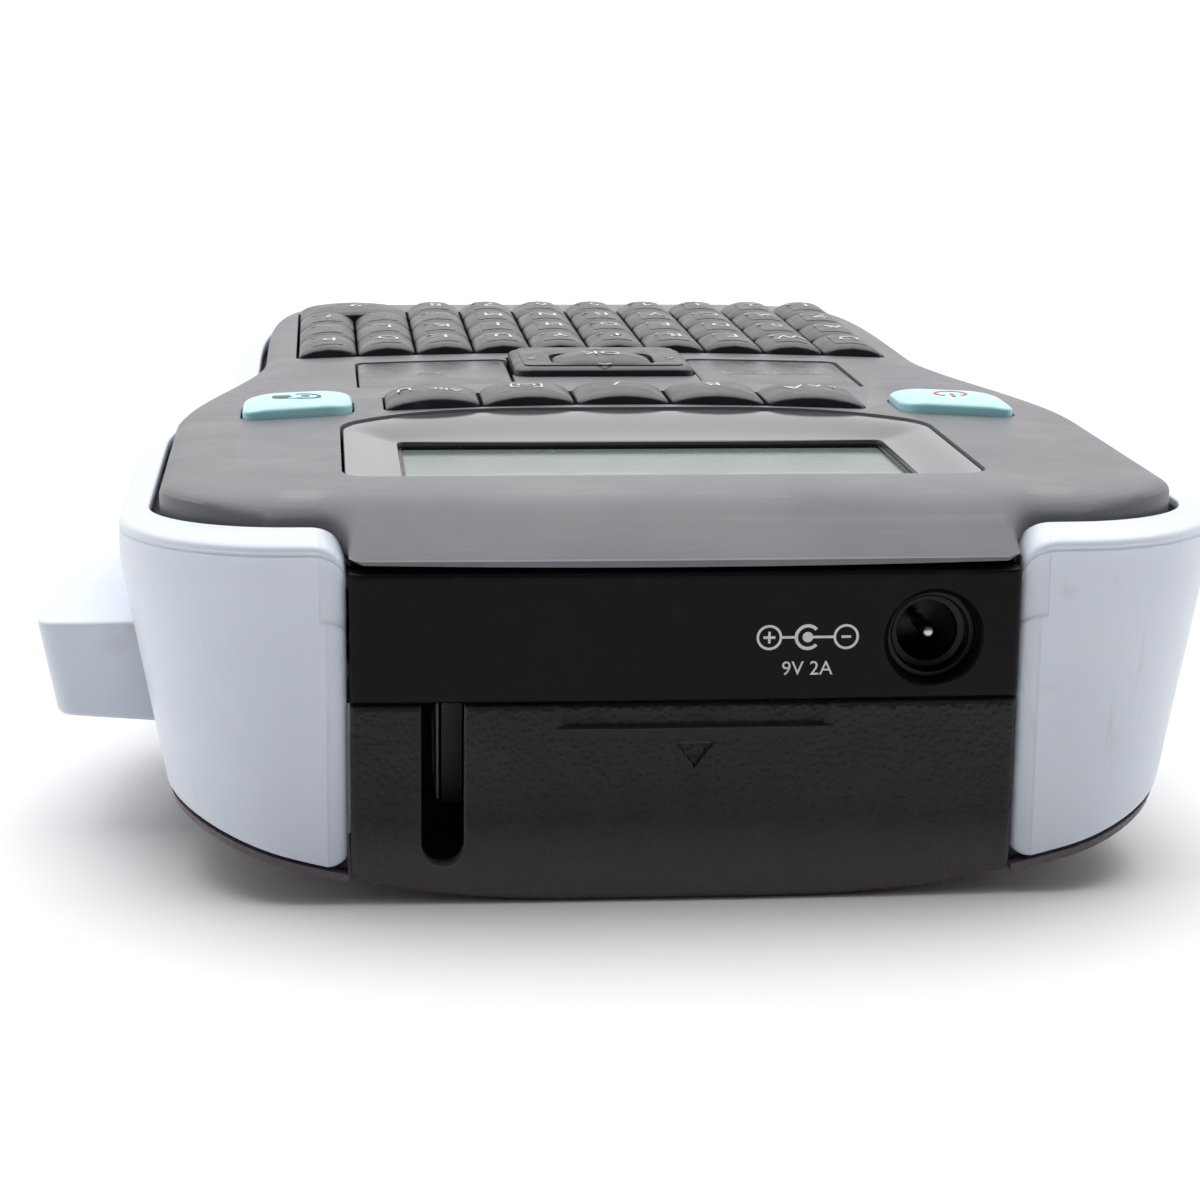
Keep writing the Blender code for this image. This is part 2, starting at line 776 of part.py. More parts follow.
def add_letter_key(bm, left, right, near, far):
    half = key_gap / 2
    a, b = right + half, left - half
    plan = band(a, b, lambda x: near(x) - half, lambda x: far(x) + half, 2)
    middle = sum((Vector(point) for point in plan), Vector((0, 0))) / len(plan)
    rows = []
    edge = face_height + key_rise
    for share, z in ((1.0, mat_sheet_low + mat_sheet / 2), (1.0, edge), (0.7, edge + key_crown)):
        points = [middle.lerp(Vector(point), share) for point in plan]
        rows.append([bm.verts.new((x, y, z)) for x, y in points])
    for lower, upper in zip(rows, rows[1:]):
        for i in range(len(plan)):
            j = (i + 1) % len(plan)
            bm.faces.new((lower[i], lower[j], upper[j], upper[i]))
    bm.faces.new(rows[0])
    bm.faces.new(rows[-1])


# ---- electronics -----------------------------------------------------------


def build_electronics():
    board = outline(9 * mm, 26 * mm, 12 * mm)
    prism("main_board", board, board_top - board_thickness, board_top,
          material=finish_material("board_green", (0.03, 0.16, 0.07), 0.4))
    y1 = near_end - panel_wall - 0.3 * mm
    jack = [(jack_bore + 0.9 * mm, y1 - 12 * mm), (jack_bore + 0.9 * mm, y1)]
    socket = turned("dc_jack", jack, (jack_x, 0, jack_height), material=black_plastic(), along="Y")
    bore = [(jack_bore, y1 - 9 * mm), (jack_bore, y1 + 2 * mm)]
    cut(socket, turned("jack_bore", bore, (jack_x, 0, jack_height), cutter=True, along="Y"))
    pin = [(1.0 * mm, y1 - 8.6 * mm), (1.0 * mm, y1 - 1.2 * mm), (0.6 * mm, y1 - 0.7 * mm)]
    turned("dc_jack_pin", pin, (jack_x, 0, jack_height), material=steel(), along="Y", sides=12)


def build_cells():
    profile_end = cell_end - cell_length
    for i in range(cell_count):
        x = (i - (cell_count - 1) / 2) * cell_pitch
        steps = [(cell_radius, profile_end), (cell_radius, cell_end - 1.0 * mm),
                 (1.9 * mm, cell_end - 0.99 * mm), (1.9 * mm, cell_end)]
        if i % 2:
            steps = [(r, profile_end + cell_end - y) for r, y in reversed(steps)]
        turned(f"battery_{i + 1}", steps, (x, 0, cell_height), sides=16, along="Y",
               material=finish_material("cell_wrap", (0.12, 0.13, 0.15), 0.35, 0.4))
    half = cell_radius - 0.3 * mm
    plates = {"near": [(0, 1), (2, 3), (4, 5)], "far": [(0, 0), (1, 2), (3, 4), (5, 5)]}
    for end, pairs in plates.items():
        y = cell_end + 0.4 * mm if end == "near" else profile_end - 0.9 * mm
        for k, (first, last) in enumerate(pairs):
            x0 = (first - (cell_count - 1) / 2) * cell_pitch - half
            x1 = (last - (cell_count - 1) / 2) * cell_pitch + half
            box(f"contact_{end}_{k + 1}", (x0, y, cell_height - 3.5 * mm),
                (x1, y + 0.5 * mm, cell_height + 4 * mm), material=steel())
    wide = cell_pitch * cell_count / 2 + 0.4 * mm
    low, high = cell_height - 0.5 * mm, cell_height + cell_radius + 1.9 * mm
    tray = box("battery_tray", (-wide, profile_end - 2.2 * mm, low), (wide, cell_end + 2.7 * mm, high),
               material=black_plastic())
    cut(tray, box("tray_hollow", (-wide + 0.5 * mm, profile_end - 1.2 * mm, -0.01),
                  (wide - 0.5 * mm, cell_end + 1.2 * mm, high - 1.5 * mm), cutter=True))


# ---- mechanism -------------------------------------------------------------


def gear_plan(teeth, phase):
    """A spur gear's outline with straight-sided teeth, thin enough to run free."""
    pitch_radius = module * teeth / 2
    tip, root = pitch_radius + 0.75 * module, pitch_radius - 1.15 * module
    step = 2 * math.pi / teeth
    points = []
    for i in range(teeth):
        middle = phase + i * step
        for radius, share in ((root, -0.30), (tip, -0.09), (tip, 0.09), (root, 0.30)):
            angle = middle + share * step
            points.append((radius * math.cos(angle), radius * math.sin(angle)))
    return points


def build_gear(name, teeth, phase, centre, low_end, shaft, bore=0.0):
    """A gear with its shaft down to low_end, or with a bore."""
    plan = gear_plan(teeth, phase)
    top = gear_low + gear_thickness
    gear = prism(name, plan, gear_low, top, material=gear_plastic())
    if shaft:
        steps = [(shaft, low_end), (shaft, gear_low + gear_thickness / 2)]
        join(gear, turned(name + "_shaft", steps, (0, 0, 0), cutter=True, sides=16))
    if bore:
        steps = [(bore, 0.0), (bore, through)]
        cut(gear, turned(name + "_bore", steps, (0, 0, 0), cutter=True, sides=16))
    for obj in [gear] + [tool(name + end) for end in ("_shaft", "_bore") if name + end in bpy.data.objects]:
        obj.location = (*centre, 0)
    return gear


def build_drive():
    idler_y = platen_y - module * (platen_teeth + idler_teeth) / 2
    motor_y = idler_y - module * (idler_teeth + pinion_teeth) / 2
    ribbon_x = drive_x - module * (idler_teeth + ribbon_teeth) / 2
    # Phases: on each line between axes a tooth of one gear faces a gap of the other.
    up = math.pi / 2
    build_gear("idler_gear", idler_teeth, up, (drive_x, idler_y), 0, 0, bore=1.8 * mm)
    build_gear("platen_gear", platen_teeth, -up + math.pi / platen_teeth, (drive_x, platen_y),
               5 * mm, shaft_radius)
    down_phase = up + math.pi / pinion_teeth
    build_gear("motor_pinion", pinion_teeth, down_phase, (drive_x, motor_y), 24.2 * mm, 1.0 * mm)
    build_gear("ribbon_spindle", ribbon_teeth, math.pi / ribbon_teeth, (ribbon_x, idler_y),
               7 * mm, 1.8 * mm)
    turned("motor", [(motor_radius, 5.6 * mm), (motor_radius, 23.6 * mm)], (drive_x, motor_y, 0),
           material=steel())
    roller = turned("platen_roller", [(roller_radius, 6 * mm), (roller_radius, 22 * mm)],
                    (drive_x, platen_y, 0),
                    material=finish_material("roller_rubber", (0.02, 0.02, 0.02), 0.8))
    bore = [(shaft_radius + gap, 0.0), (shaft_radius + gap, through)]
    cut(roller, turned("roller_bore", bore, (drive_x, platen_y, 0), cutter=True, sides=16))
    head_face = drive_x - roller_radius - 1.0 * mm
    box("print_head", (head_face - 2.2 * mm, platen_y - 5 * mm, 6.5 * mm),
        (head_face, platen_y + 5 * mm, 21 * mm),
        material=finish_material("head_ceramic", (0.5, 0.48, 0.42), 0.35))
    box("head_bracket", (head_face - 4.1 * mm, platen_y - 8 * mm, 6 * mm),
        (head_face - 2.5 * mm, platen_y + 8 * mm, 24.6 * mm), material=steel())
    top = chassis_low + chassis_thickness
    left, right = cassette_left - 6 * mm, pivot_x - 5 * mm
    foot, head = near_end - 91 * mm, near_end - 7 * mm
    corners = [(left, foot), (right - 4 * mm, foot), (right, foot + 8 * mm), (right, head - 4 * mm),
               (right - 4 * mm, head), (left + 4 * mm, head), (left, head - 6 * mm)]
    chassis = prism("chassis", corners, chassis_low, top, material=black_plastic())
    stud = [(1.4 * mm, chassis_low), (1.4 * mm, gear_low + gear_thickness + 0.6 * mm)]
    join(chassis, turned("idler_stud", stud, (drive_x, idler_y, 0), cutter=True, sides=16))
    cut(chassis, box("jack_notch", (jack_x - 6 * mm, near_end - 16 * mm, 0),
                     (jack_x + 6 * mm, near_end, face_height), cutter=True))
    for name, x, y, radius in (("platen", drive_x, platen_y, 1.8), ("motor", drive_x, motor_y, 1.6),
                               ("ribbon", ribbon_x, idler_y, 2.4)):
        hole = [(radius * mm, 0.0), (radius * mm, through)]
        cut(chassis, turned(name + "_hole", hole, (x, y, 0), cutter=True, sides=16))
    build_cassette(ribbon_x, idler_y)


def build_cassette(ribbon_x, ribbon_y):
    shell = box("tape_cassette", (cassette_left, cassette_far, cassette_low),
                (cassette_right, cassette_near, cassette_high),
                material=finish_material("cassette_grey", (0.55, 0.55, 0.56), 0.45))
    ceiling = cassette_high - 1.4 * mm
    wells = (("label_well", label_spool_x, label_spool_y, label_spool_radius + 0.8 * mm),
             ("ribbon_well", ribbon_x, ribbon_y, ribbon_spool_radius + 0.8 * mm))
    for name, x, y, radius in wells:
        steps = [(radius, 0.0), (radius, ceiling)]
        cut(shell, turned(name, steps, (x, y, 0), cutter=True, sides=24))
    hub = [(2.6 * mm, 0.0), (2.6 * mm, through)]
    cut(shell, turned("ribbon_hub_hole", hub, (ribbon_x, ribbon_y, 0), cutter=True, sides=16))
    low = cassette_low + 1.5 * mm
    spool = [(label_spool_radius, low), (label_spool_radius, low + tape_width)]
    spool = turned("label_spool", spool, (label_spool_x, label_spool_y, 0),
                   material=finish_material("label_white", (0.85, 0.85, 0.83), 0.6))
    spool_bore = [(5 * mm, 0.0), (5 * mm, through)]
    cut(spool, turned("spool_bore", spool_bore, (label_spool_x, label_spool_y, 0), cutter=True, sides=16))
    ribbon = turned("ribbon_spool", [(ribbon_spool_radius, low), (ribbon_spool_radius, low + tape_width)],
                    (ribbon_x, ribbon_y, 0), material=black_plastic())
    core = [(2.1 * mm, 0.0), (2.1 * mm, through)]
    cut(ribbon, turned("ribbon_bore", core, (ribbon_x, ribbon_y, 0), cutter=True, sides=16))
    tape_x = slot_centre
    box("label_tape", (tape_x - 0.13 * mm, platen_y - 7 * mm, low),
        (tape_x + 0.12 * mm, platen_y + 6 * mm, low + tape_width),
        material=finish_material("label_white", (0.85, 0.85, 0.83), 0.6))


def build_cutter():
    tip, near = lever_tip, lever_near
    arm = pivot_x + 0.4 * mm
    plan = [(pivot_x - 3.6 * mm, pivot_y - 2 * mm), (pivot_x, pivot_y - 4.2 * mm)]
    plan += [(tip - 11.8 * mm, near - 43.5 * mm), (tip - 6.2 * mm, near - 40 * mm)]
    plan += [(tip - 2.4 * mm, near - 31 * mm), (tip - 0.4 * mm, near - 17 * mm), (tip, near - 3 * mm)]
    plan += [(tip - 0.9 * mm, near - 0.9 * mm), (tip - 3 * mm, near), (arm + 4.6 * mm, near)]
    plan += [(arm + 3 * mm, near + 2 * mm), (arm + 3 * mm, near + 18 * mm), (arm, near + 18 * mm)]
    plan.append((pivot_x - 3.6 * mm, near - 12 * mm))
    lever = prism("cutter_lever", plan, lever_low, lever_high, material=white_plastic())
    hole = [(pivot_radius + gap, 0.0), (pivot_radius + gap, through)]
    cut(lever, turned("lever_hole", hole, (pivot_x, pivot_y, 0), cutter=True, sides=16))
    soften(lever, 0.9 * mm)
    place_origin(lever, (pivot_x, pivot_y, lever_low))
    floor = belly_z(pivot_x + 3.4 * mm) + plate_wall
    turned("lever_pivot_pin", [(pivot_radius, floor + 0.4 * mm), (pivot_radius, lever_high + 1.4 * mm)],
           (pivot_x, pivot_y, 0), material=steel(), sides=16)
    carrier = box("blade_carrier", (blade_x + 4.2 * mm, blade_y - 2.9 * mm, 8 * mm),
                  (blade_x + 12.8 * mm, blade_y - 0.4 * mm, 20 * mm),
                  material=finish_material("carrier_plastic", (0.6, 0.6, 0.58), 0.5))
    join(carrier, box("carrier_lug", (blade_x + 10.4 * mm, blade_y - 9.2 * mm, 13 * mm),
                      (blade_x + 12.8 * mm, blade_y - 2 * mm, 20 * mm), cutter=True))
    box("cutter_blade", (blade_x, blade_y, 6.6 * mm),
        (blade_x + 6 * mm, blade_y + 0.5 * mm, 20.6 * mm), material=steel())
    anvil = slot_centre - slot_width / 2 - 1.6 * mm
    box("cutter_anvil", (anvil - 3 * mm, blade_y, 6 * mm),
        (anvil, blade_y + 1.6 * mm, 20.8 * mm), material=steel())
    build_lever_spring(floor)


def build_lever_spring(floor):
    """A torsion spring round the pivot pin, below the lever."""
    curve = bpy.data.curves.new("lever_spring", "CURVE")
    curve.dimensions = "3D"
    curve.bevel_depth = 0.4 * mm
    curve.bevel_resolution = 1
    curve.use_fill_caps = True
    turns, per_turn = 2, 10
    low, high = floor + 0.9 * mm, lever_low - 0.9 * mm
    points = []
    for i in range(turns * per_turn + 1):
        angle = 2 * math.pi * i / per_turn
        z = low + (high - low) * i / (turns * per_turn)
        points.append((pivot_x + 2.6 * mm * math.cos(angle), pivot_y + 2.6 * mm * math.sin(angle), z))
    line = curve.splines.new("POLY")
    line.points.add(len(points) - 1)
    for target, point in zip(line.points, points):
        target.co = (*point, 1.0)
    spring = bpy.data.objects.new("lever_spring", curve)
    curve.materials.append(steel())
    bpy.data.collections["label_maker"].objects.link(spring)


def build_screws():
    for i, (x, y) in enumerate(screw_places):
        base = belly_z(x) + screw_sink
        steps = [(screw_head_radius, base - 0.9 * mm), (screw_head_radius, base)]
        steps += [(screw_radius, base + 0.01 * mm), (screw_radius, base + screw_length)]
        turned(f"case_screw_{i + 1}", steps, (x, y, 0), material=steel(), sides=12)


clear_scene()
build_cutters()
build_side_shells()
build_back_case()
build_face_cover()
build_exit_end()
build_battery_cover()
build_window()
build_keys()
build_keymat()
build_electronics()
build_cells()
build_drive()
build_cutter()
build_screws()
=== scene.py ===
import math

import bmesh
import bpy
from mathutils import Matrix, Vector


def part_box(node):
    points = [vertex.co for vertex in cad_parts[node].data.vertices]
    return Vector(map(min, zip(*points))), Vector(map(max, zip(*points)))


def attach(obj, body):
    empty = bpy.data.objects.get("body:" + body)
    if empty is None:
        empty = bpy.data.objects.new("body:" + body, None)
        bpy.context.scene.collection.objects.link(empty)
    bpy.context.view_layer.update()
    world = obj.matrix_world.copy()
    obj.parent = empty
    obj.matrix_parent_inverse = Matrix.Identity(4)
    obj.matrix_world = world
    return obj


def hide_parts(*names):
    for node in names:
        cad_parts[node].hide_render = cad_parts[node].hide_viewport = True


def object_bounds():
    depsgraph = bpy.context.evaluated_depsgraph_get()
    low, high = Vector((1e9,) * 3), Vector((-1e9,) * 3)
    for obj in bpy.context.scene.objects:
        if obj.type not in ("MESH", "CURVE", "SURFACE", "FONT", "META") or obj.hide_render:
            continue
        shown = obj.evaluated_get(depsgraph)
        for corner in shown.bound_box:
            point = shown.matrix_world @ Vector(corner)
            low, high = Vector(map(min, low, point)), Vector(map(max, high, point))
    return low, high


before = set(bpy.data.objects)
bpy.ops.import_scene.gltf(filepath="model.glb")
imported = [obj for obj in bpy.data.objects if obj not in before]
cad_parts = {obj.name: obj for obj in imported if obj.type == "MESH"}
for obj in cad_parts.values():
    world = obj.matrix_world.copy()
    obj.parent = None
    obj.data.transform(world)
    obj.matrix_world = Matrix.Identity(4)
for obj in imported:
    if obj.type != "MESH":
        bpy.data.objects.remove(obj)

mm = 0.001
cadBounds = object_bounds()
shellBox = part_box("side_shell_right")
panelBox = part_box("end_panel")
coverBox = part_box("tape_cover")
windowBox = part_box("window_frame")
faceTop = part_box("face_cover")[1].z


# finishes

looks = {
    "whitePlastic": {"colour": (0.74, 0.79, 0.87), "second": (0.67, 0.72, 0.82), "patch": 30,
                     "rough": (0.30, 0.46), "grain": 0.35, "bump": 0.006, "wearAndHighlight": (0.80, 0.84, 0.90),
                     "scratch": (0.40, 0.36, 0.30), "scratchAmount": 0.03, "coat": 0.08},
    "faceSatin": {"colour": (0.138, 0.136, 0.153), "second": (0.157, 0.155, 0.172), "patch": 22,
                  "rough": (0.36, 0.5), "grain": 0.28, "bump": 0.035, "wearAndHighlight": (0.19, 0.19, 0.205),
                  "scratch": (0.22, 0.22, 0.235), "scratchAmount": 0.05},
    "caseBlack": {"colour": (0.0025, 0.0025, 0.003), "second": (0.004, 0.004, 0.0045), "patch": 18,
                  "rough": (0.3, 0.42), "grain": 0.5, "bump": 0.02, "wearAndHighlight": (0.02, 0.02, 0.022),
                  "scratch": (0.03, 0.03, 0.033), "scratchAmount": 0.03, "specular": 0.12},
    "leatherBlack": {"colour": (0.004, 0.0037, 0.0043), "second": (0.006, 0.0055, 0.0063), "patch": 14,
                     "rough": (0.34, 0.5), "grain": 0.6, "bump": 0.2, "leather": True,
                     # its pinkish corner colour is a painted highlight, not rubbing
                     "wearAndHighlight": (0.16, 0.135, 0.15), "scratch": (0.05, 0.05, 0.055), "scratchAmount": 0.02,
                     "paleFoot": (0.075, 0.064, 0.072),
                     "specular": 0.3, "sheen": 0.14, "sheenTint": (0.95, 0.72, 0.85)},
    "windowGloss": {"colour": (0.095, 0.093, 0.105), "second": (0.108, 0.106, 0.118), "patch": 25,
                    "rough": (0.05, 0.12), "grain": 2.5, "bump": 0.002, "wearAndHighlight": (0.2, 0.2, 0.21),
                    "scratch": (0.2, 0.2, 0.21), "scratchAmount": 0.03, "coat": 0.3},
    "keyRubber": {"colour": (0.014, 0.014, 0.016), "second": (0.02, 0.02, 0.023), "patch": 7,
                  "rough": (0.24, 0.4), "grain": 0.2, "bump": 0.012, "wearAndHighlight": (0.06, 0.06, 0.065),
                  "scratch": (0.11, 0.11, 0.12), "scratchAmount": 0.05},
    "keySatin": {"colour": (0.05, 0.05, 0.056), "second": (0.06, 0.06, 0.068), "patch": 12,
                 "rough": (0.2, 0.32), "grain": 0.22, "bump": 0.01, "wearAndHighlight": (0.1, 0.1, 0.11),
                 "scratch": (0.14, 0.14, 0.15), "scratchAmount": 0.05},
    "turquoiseGloss": {"colour": (0.42, 0.83, 0.88), "second": (0.48, 0.86, 0.90), "patch": 9,
                       "rough": (0.16, 0.28), "grain": 0.4, "bump": 0.004, "wearAndHighlight": (0.55, 0.88, 0.92),
                       "scratch": (0.2, 0.5, 0.55), "scratchAmount": 0.04, "coat": 0.25},
    "legendWhite": {"colour": (0.72, 0.73, 0.76), "second": (0.58, 0.59, 0.62), "patch": 1.2,
                    "rough": (0.4, 0.55), "grain": 0.15, "bump": 0.004},
    "legendGrey": {"colour": (0.30, 0.30, 0.32), "second": (0.22, 0.22, 0.24), "patch": 1.5,
                   "rough": (0.4, 0.55), "grain": 0.15, "bump": 0.004},
    "legendRed": {"colour": (0.55, 0.05, 0.12), "second": (0.45, 0.04, 0.10), "patch": 1.5,
                  "rough": (0.35, 0.5), "grain": 0.15, "bump": 0.004},
    "legendDark": {"colour": (0.02, 0.05, 0.06), "second": (0.03, 0.07, 0.08), "patch": 1.5,
                   "rough": (0.35, 0.5), "grain": 0.15, "bump": 0.004},
    "jackBlack": {"colour": (0.0025, 0.0025, 0.003), "second": (0.004, 0.004, 0.0045), "patch": 4,
                  "rough": (0.18, 0.3), "grain": 0.3, "bump": 0.005, "wearAndHighlight": (0.012, 0.012, 0.013),
                  "scratch": (0.02, 0.02, 0.02), "scratchAmount": 0.03, "specular": 0.2},
    "steel": {"colour": (0.60, 0.60, 0.62), "second": (0.52, 0.51, 0.52), "patch": 5,
              "rough": (0.22, 0.38), "grain": 0.12, "bump": 0.006, "stretch": 9, "metallic": 1.0,
              "scratch": (0.35, 0.33, 0.32), "scratchAmount": 0.08},
    "boardGreen": {"colour": (0.012, 0.11, 0.045), "second": (0.02, 0.17, 0.07), "patch": 1.6,
                   "rough": (0.22, 0.4), "grain": 0.8, "bump": 0.02, "scratch": (0.35, 0.3, 0.12),
                   "scratchAmount": 0.25, "coat": 0.2},
    "cellWrap": {"colour": (0.045, 0.05, 0.06), "second": (0.06, 0.065, 0.08), "patch": 12,
                 "rough": (0.18, 0.3), "grain": 0.9, "bump": 0.006, "metallic": 0.3,
                 "scratch": (0.2, 0.2, 0.22), "scratchAmount": 0.06, "coat": 0.3},
    "headCeramic": {"colour": (0.016, 0.015, 0.013), "second": (0.024, 0.022, 0.02), "patch": 2,
                    "rough": (0.25, 0.4), "grain": 0.25, "bump": 0.01},
    "cassetteGrey": {"colour": (0.50, 0.51, 0.53), "second": (0.44, 0.45, 0.47), "patch": 16,
                     "rough": (0.34, 0.5), "grain": 0.4, "bump": 0.015,
                     "scratch": (0.7, 0.7, 0.72), "scratchAmount": 0.05},
    "labelWhite": {"colour": (0.82, 0.82, 0.80), "second": (0.74, 0.74, 0.71), "patch": 1.0,
                   "rough": (0.4, 0.6), "grain": 0.12, "bump": 0.01, "stretch": 12},
    "gearNylon": {"colour": (0.80, 0.78, 0.70), "second": (0.70, 0.68, 0.60), "patch": 3,
                  "rough": (0.3, 0.5), "grain": 0.2, "bump": 0.008, "scratch": (0.4, 0.38, 0.33),
                  "scratchAmount": 0.06},
    "rollerRubber": {"colour": (0.018, 0.018, 0.018), "second": (0.035, 0.034, 0.033), "patch": 2,
                     "rough": (0.6, 0.85), "grain": 0.1, "bump": 0.012, "stretch": 5},
    "paleFloor": {"colour": (0.90, 0.90, 0.90), "second": (0.88, 0.88, 0.885), "patch": 300,
                  "rough": (0.55, 0.7), "grain": 3.0, "bump": 0.01},
}


# a shader node with its inputs set by name
def addNode(tree, kind, inputs):
    node = tree.nodes.new("ShaderNode" + kind)
    for socket, value in inputs.items():
        node.inputs[socket].default_value = value
    return node


# a ramp between two colours, fed by a socket
def addRamp(tree, source, places, colours):
    ramp = addNode(tree, "ValToRGB", {})
    for element, place, colour in zip(ramp.color_ramp.elements, places, colours):
        element.position = place
        element.color = (*colour, 1)
    tree.links.new(source, ramp.inputs["Fac"])
    return ramp.outputs["Color"]


# one colour laid over another by the share a socket gives
def layOver(tree, share, under, over):
    mix = tree.nodes.new("ShaderNodeMix")
    mix.data_type = "RGBA"
    mix.inputs["B"].default_value = (*over, 1)
    tree.links.new(share, mix.inputs["Factor"])
    tree.links.new(under, mix.inputs["A"])
    return mix.outputs["Result"]


def makeMaterial(name):
    look = looks[name]
    material = bpy.data.materials.new(name)
    material.use_nodes = True
    tree = material.node_tree
    links = tree.links
    shader = tree.nodes["Principled BSDF"]
    place = addNode(tree, "TexCoord", {}).outputs["Object"]
    size = addNode(tree, "Mapping", {"Scale": (1, 1, 1 / look.get("stretch", 1))})
    links.new(place, size.inputs["Vector"])

    # cloudy colour, at the size of the patches
    cloud = addNode(tree, "TexNoise", {"Scale": 1 / (look["patch"] * mm), "Detail": 4})
    links.new(size.outputs["Vector"], cloud.inputs["Vector"])
    colour = addRamp(tree, cloud.outputs["Fac"], (0.32, 0.68), (look["colour"], look["second"]))

    # fine hairline scuffs
    if "scratch" in look:
        turn = addNode(tree, "Mapping", {"Rotation": (0.3, 0.2, 0.7), "Scale": (1, 14, 1)})
        links.new(place, turn.inputs["Vector"])
        hair = addNode(tree, "TexNoise", {"Scale": 1 / (9 * mm), "Detail": 6, "Roughness": 0.62})
        links.new(turn.outputs["Vector"], hair.inputs["Vector"])
        amount = look["scratchAmount"] * 8
        thin = addRamp(tree, hair.outputs["Fac"], (0.60, 0.74), ((0, 0, 0), (amount,) * 3))
        colour = layOver(tree, thin, colour, look["scratch"])

    # paler near the table, a tint that stands in for light thrown up from it
    if "paleFoot" in look:
        height = addNode(tree, "SeparateXYZ", {})
        links.new(place, height.inputs["Vector"])
        low = addNode(tree, "MapRange", {"From Min": 9 * mm, "From Max": 1 * mm})
        links.new(height.outputs["Z"], low.inputs["Value"])
        colour = layOver(tree, low.outputs["Result"], colour, look["paleFoot"])

    # paler on sharp corners: rubbed wear, and on the leather finish a painted pinkish edge highlight
    if "wearAndHighlight" in look:
        shape = addNode(tree, "NewGeometry", {})
        wearAndHighlightMask = addRamp(tree, shape.outputs["Pointiness"], (0.53, 0.62), ((0, 0, 0), (0.6, 0.6, 0.6)))
        colour = layOver(tree, wearAndHighlightMask, colour, look["wearAndHighlight"])
    links.new(colour, shader.inputs["Base Color"])

    # gloss that varies from handling
    smear = addNode(tree, "TexNoise", {"Scale": 1 / (look["patch"] * 0.4 * mm),
                                       "Detail": 7, "Roughness": 0.6})
    links.new(size.outputs["Vector"], smear.inputs["Vector"])
    span = addNode(tree, "MapRange", {"From Min": 0.3, "From Max": 0.7,
                                      "To Min": look["rough"][0], "To Max": look["rough"][1]})
    links.new(smear.outputs["Fac"], span.inputs["Value"])
    links.new(span.outputs["Result"], shader.inputs["Roughness"])

    # surface texture of the moulding
    if look.get("leather"):
        grain = tree.nodes.new("ShaderNodeTexVoronoi")
        grain.feature = "SMOOTH_F1"
        grain.inputs["Smoothness"].default_value = 0.35
        grain.inputs["Randomness"].default_value = 1.0
        height = grain.outputs["Distance"]
    else:
        grain = addNode(tree, "TexNoise", {"Detail": 3})
        height = grain.outputs["Fac"]
    grain.inputs["Scale"].default_value = 1 / (look["grain"] * mm)
    links.new(size.outputs["Vector"], grain.inputs["Vector"])
    bump = addNode(tree, "Bump", {"Strength": 0.6, "Distance": look["bump"] * mm})
    links.new(height, bump.inputs["Height"])
    links.new(bump.outputs["Normal"], shader.inputs["Normal"])

    values = {"Metallic": look.get("metallic", 0.0), "Specular IOR Level": look.get("specular", 0.5),
              "Coat Weight": look.get("coat", 0.0), "Coat Roughness": 0.12,
              "Sheen Weight": look.get("sheen", 0.0),
              "Sheen Tint": (*look.get("sheenTint", (1, 1, 1)), 1)}
    for socket, value in values.items():
        shader.inputs[socket].default_value = value
    return material


materials = {name: makeMaterial(name) for name in looks}
print("finishes mixed:", len(materials))


# mesh tools

def linkMesh(name, bm):
    bmesh.ops.remove_doubles(bm, verts=bm.verts, dist=0.0005 * mm)
    bmesh.ops.recalc_face_normals(bm, faces=bm.faces)
    mesh = bpy.data.meshes.new(name)
    bm.to_mesh(mesh)
    bm.free()
    piece = bpy.data.objects.new(name, mesh)
    bpy.context.scene.collection.objects.link(piece)
    return piece


# closed loops joined one to the next, with a cap at each end
def loftLoops(name, loops, closed=False):
    bm = bmesh.new()
    rows = [[bm.verts.new(point) for point in loop] for loop in loops]
    count = len(rows[0])
    for first, second in zip(rows, rows[1:] + rows[:1] if closed else rows[1:]):
        for i in range(count):
            j = (i + 1) % count
            bm.faces.new((first[i], first[j], second[j], second[i]))
    if not closed:
        bm.faces.new(rows[0])
        bm.faces.new(rows[-1])
    return linkMesh(name, bm)


def prism(name, plan, low, high):
    return loftLoops(name, [[(x, y, z) for x, y in plan] for z in (low, high)])


def block(name, low, high, radius=0.0):
    bm = bmesh.new()
    bmesh.ops.create_cube(bm, size=1)
    low, high = Vector(low), Vector(high)
    bmesh.ops.transform(bm, matrix=Matrix.Diagonal((*(high - low), 1)), verts=bm.verts)
    bmesh.ops.translate(bm, vec=(low + high) / 2, verts=bm.verts)
    if radius:
        bmesh.ops.bevel(bm, geom=bm.edges, offset=radius, segments=4, affect="EDGES", profile=0.5)
    return linkMesh(name, bm)


# (radius, height) steps turned about an axis
def turned(name, steps, centre, along="Z", sides=64):
    loops = []
    for radius, height in steps:
        loop = []
        for i in range(sides):
            angle = 2 * math.pi * i / sides
            a, b = radius * math.cos(angle), radius * math.sin(angle)
            point = {"Z": (a, b, height), "X": (height, a, b), "Y": (b, height, a)}[along]
            loop.append(Vector(point) + Vector(centre))
        loops.append(loop)
    return loftLoops(name, loops)


def applyModifiers(piece):
    graph = bpy.context.evaluated_depsgraph_get()
    mesh = bpy.data.meshes.new_from_object(piece.evaluated_get(graph))
    piece.modifiers.clear()
    old = piece.data
    piece.data = mesh
    bpy.data.meshes.remove(old)


def carve(piece, *tools, operation="DIFFERENCE"):
    for tool in tools:
        step = piece.modifiers.new("carve", "BOOLEAN")
        step.object = tool
        step.operation = operation
        step.solver = "EXACT"
        applyModifiers(piece)
        bpy.data.objects.remove(tool)
    return piece


def soften(piece, width, segments=3, angle=35):
    step = piece.modifiers.new("soften", "BEVEL")
    step.width = width
    step.segments = segments
    step.limit_method = "ANGLE"
    step.angle_limit = math.radians(angle)
    step.miter_outer = "MITER_ARC"
    applyModifiers(piece)
    return piece


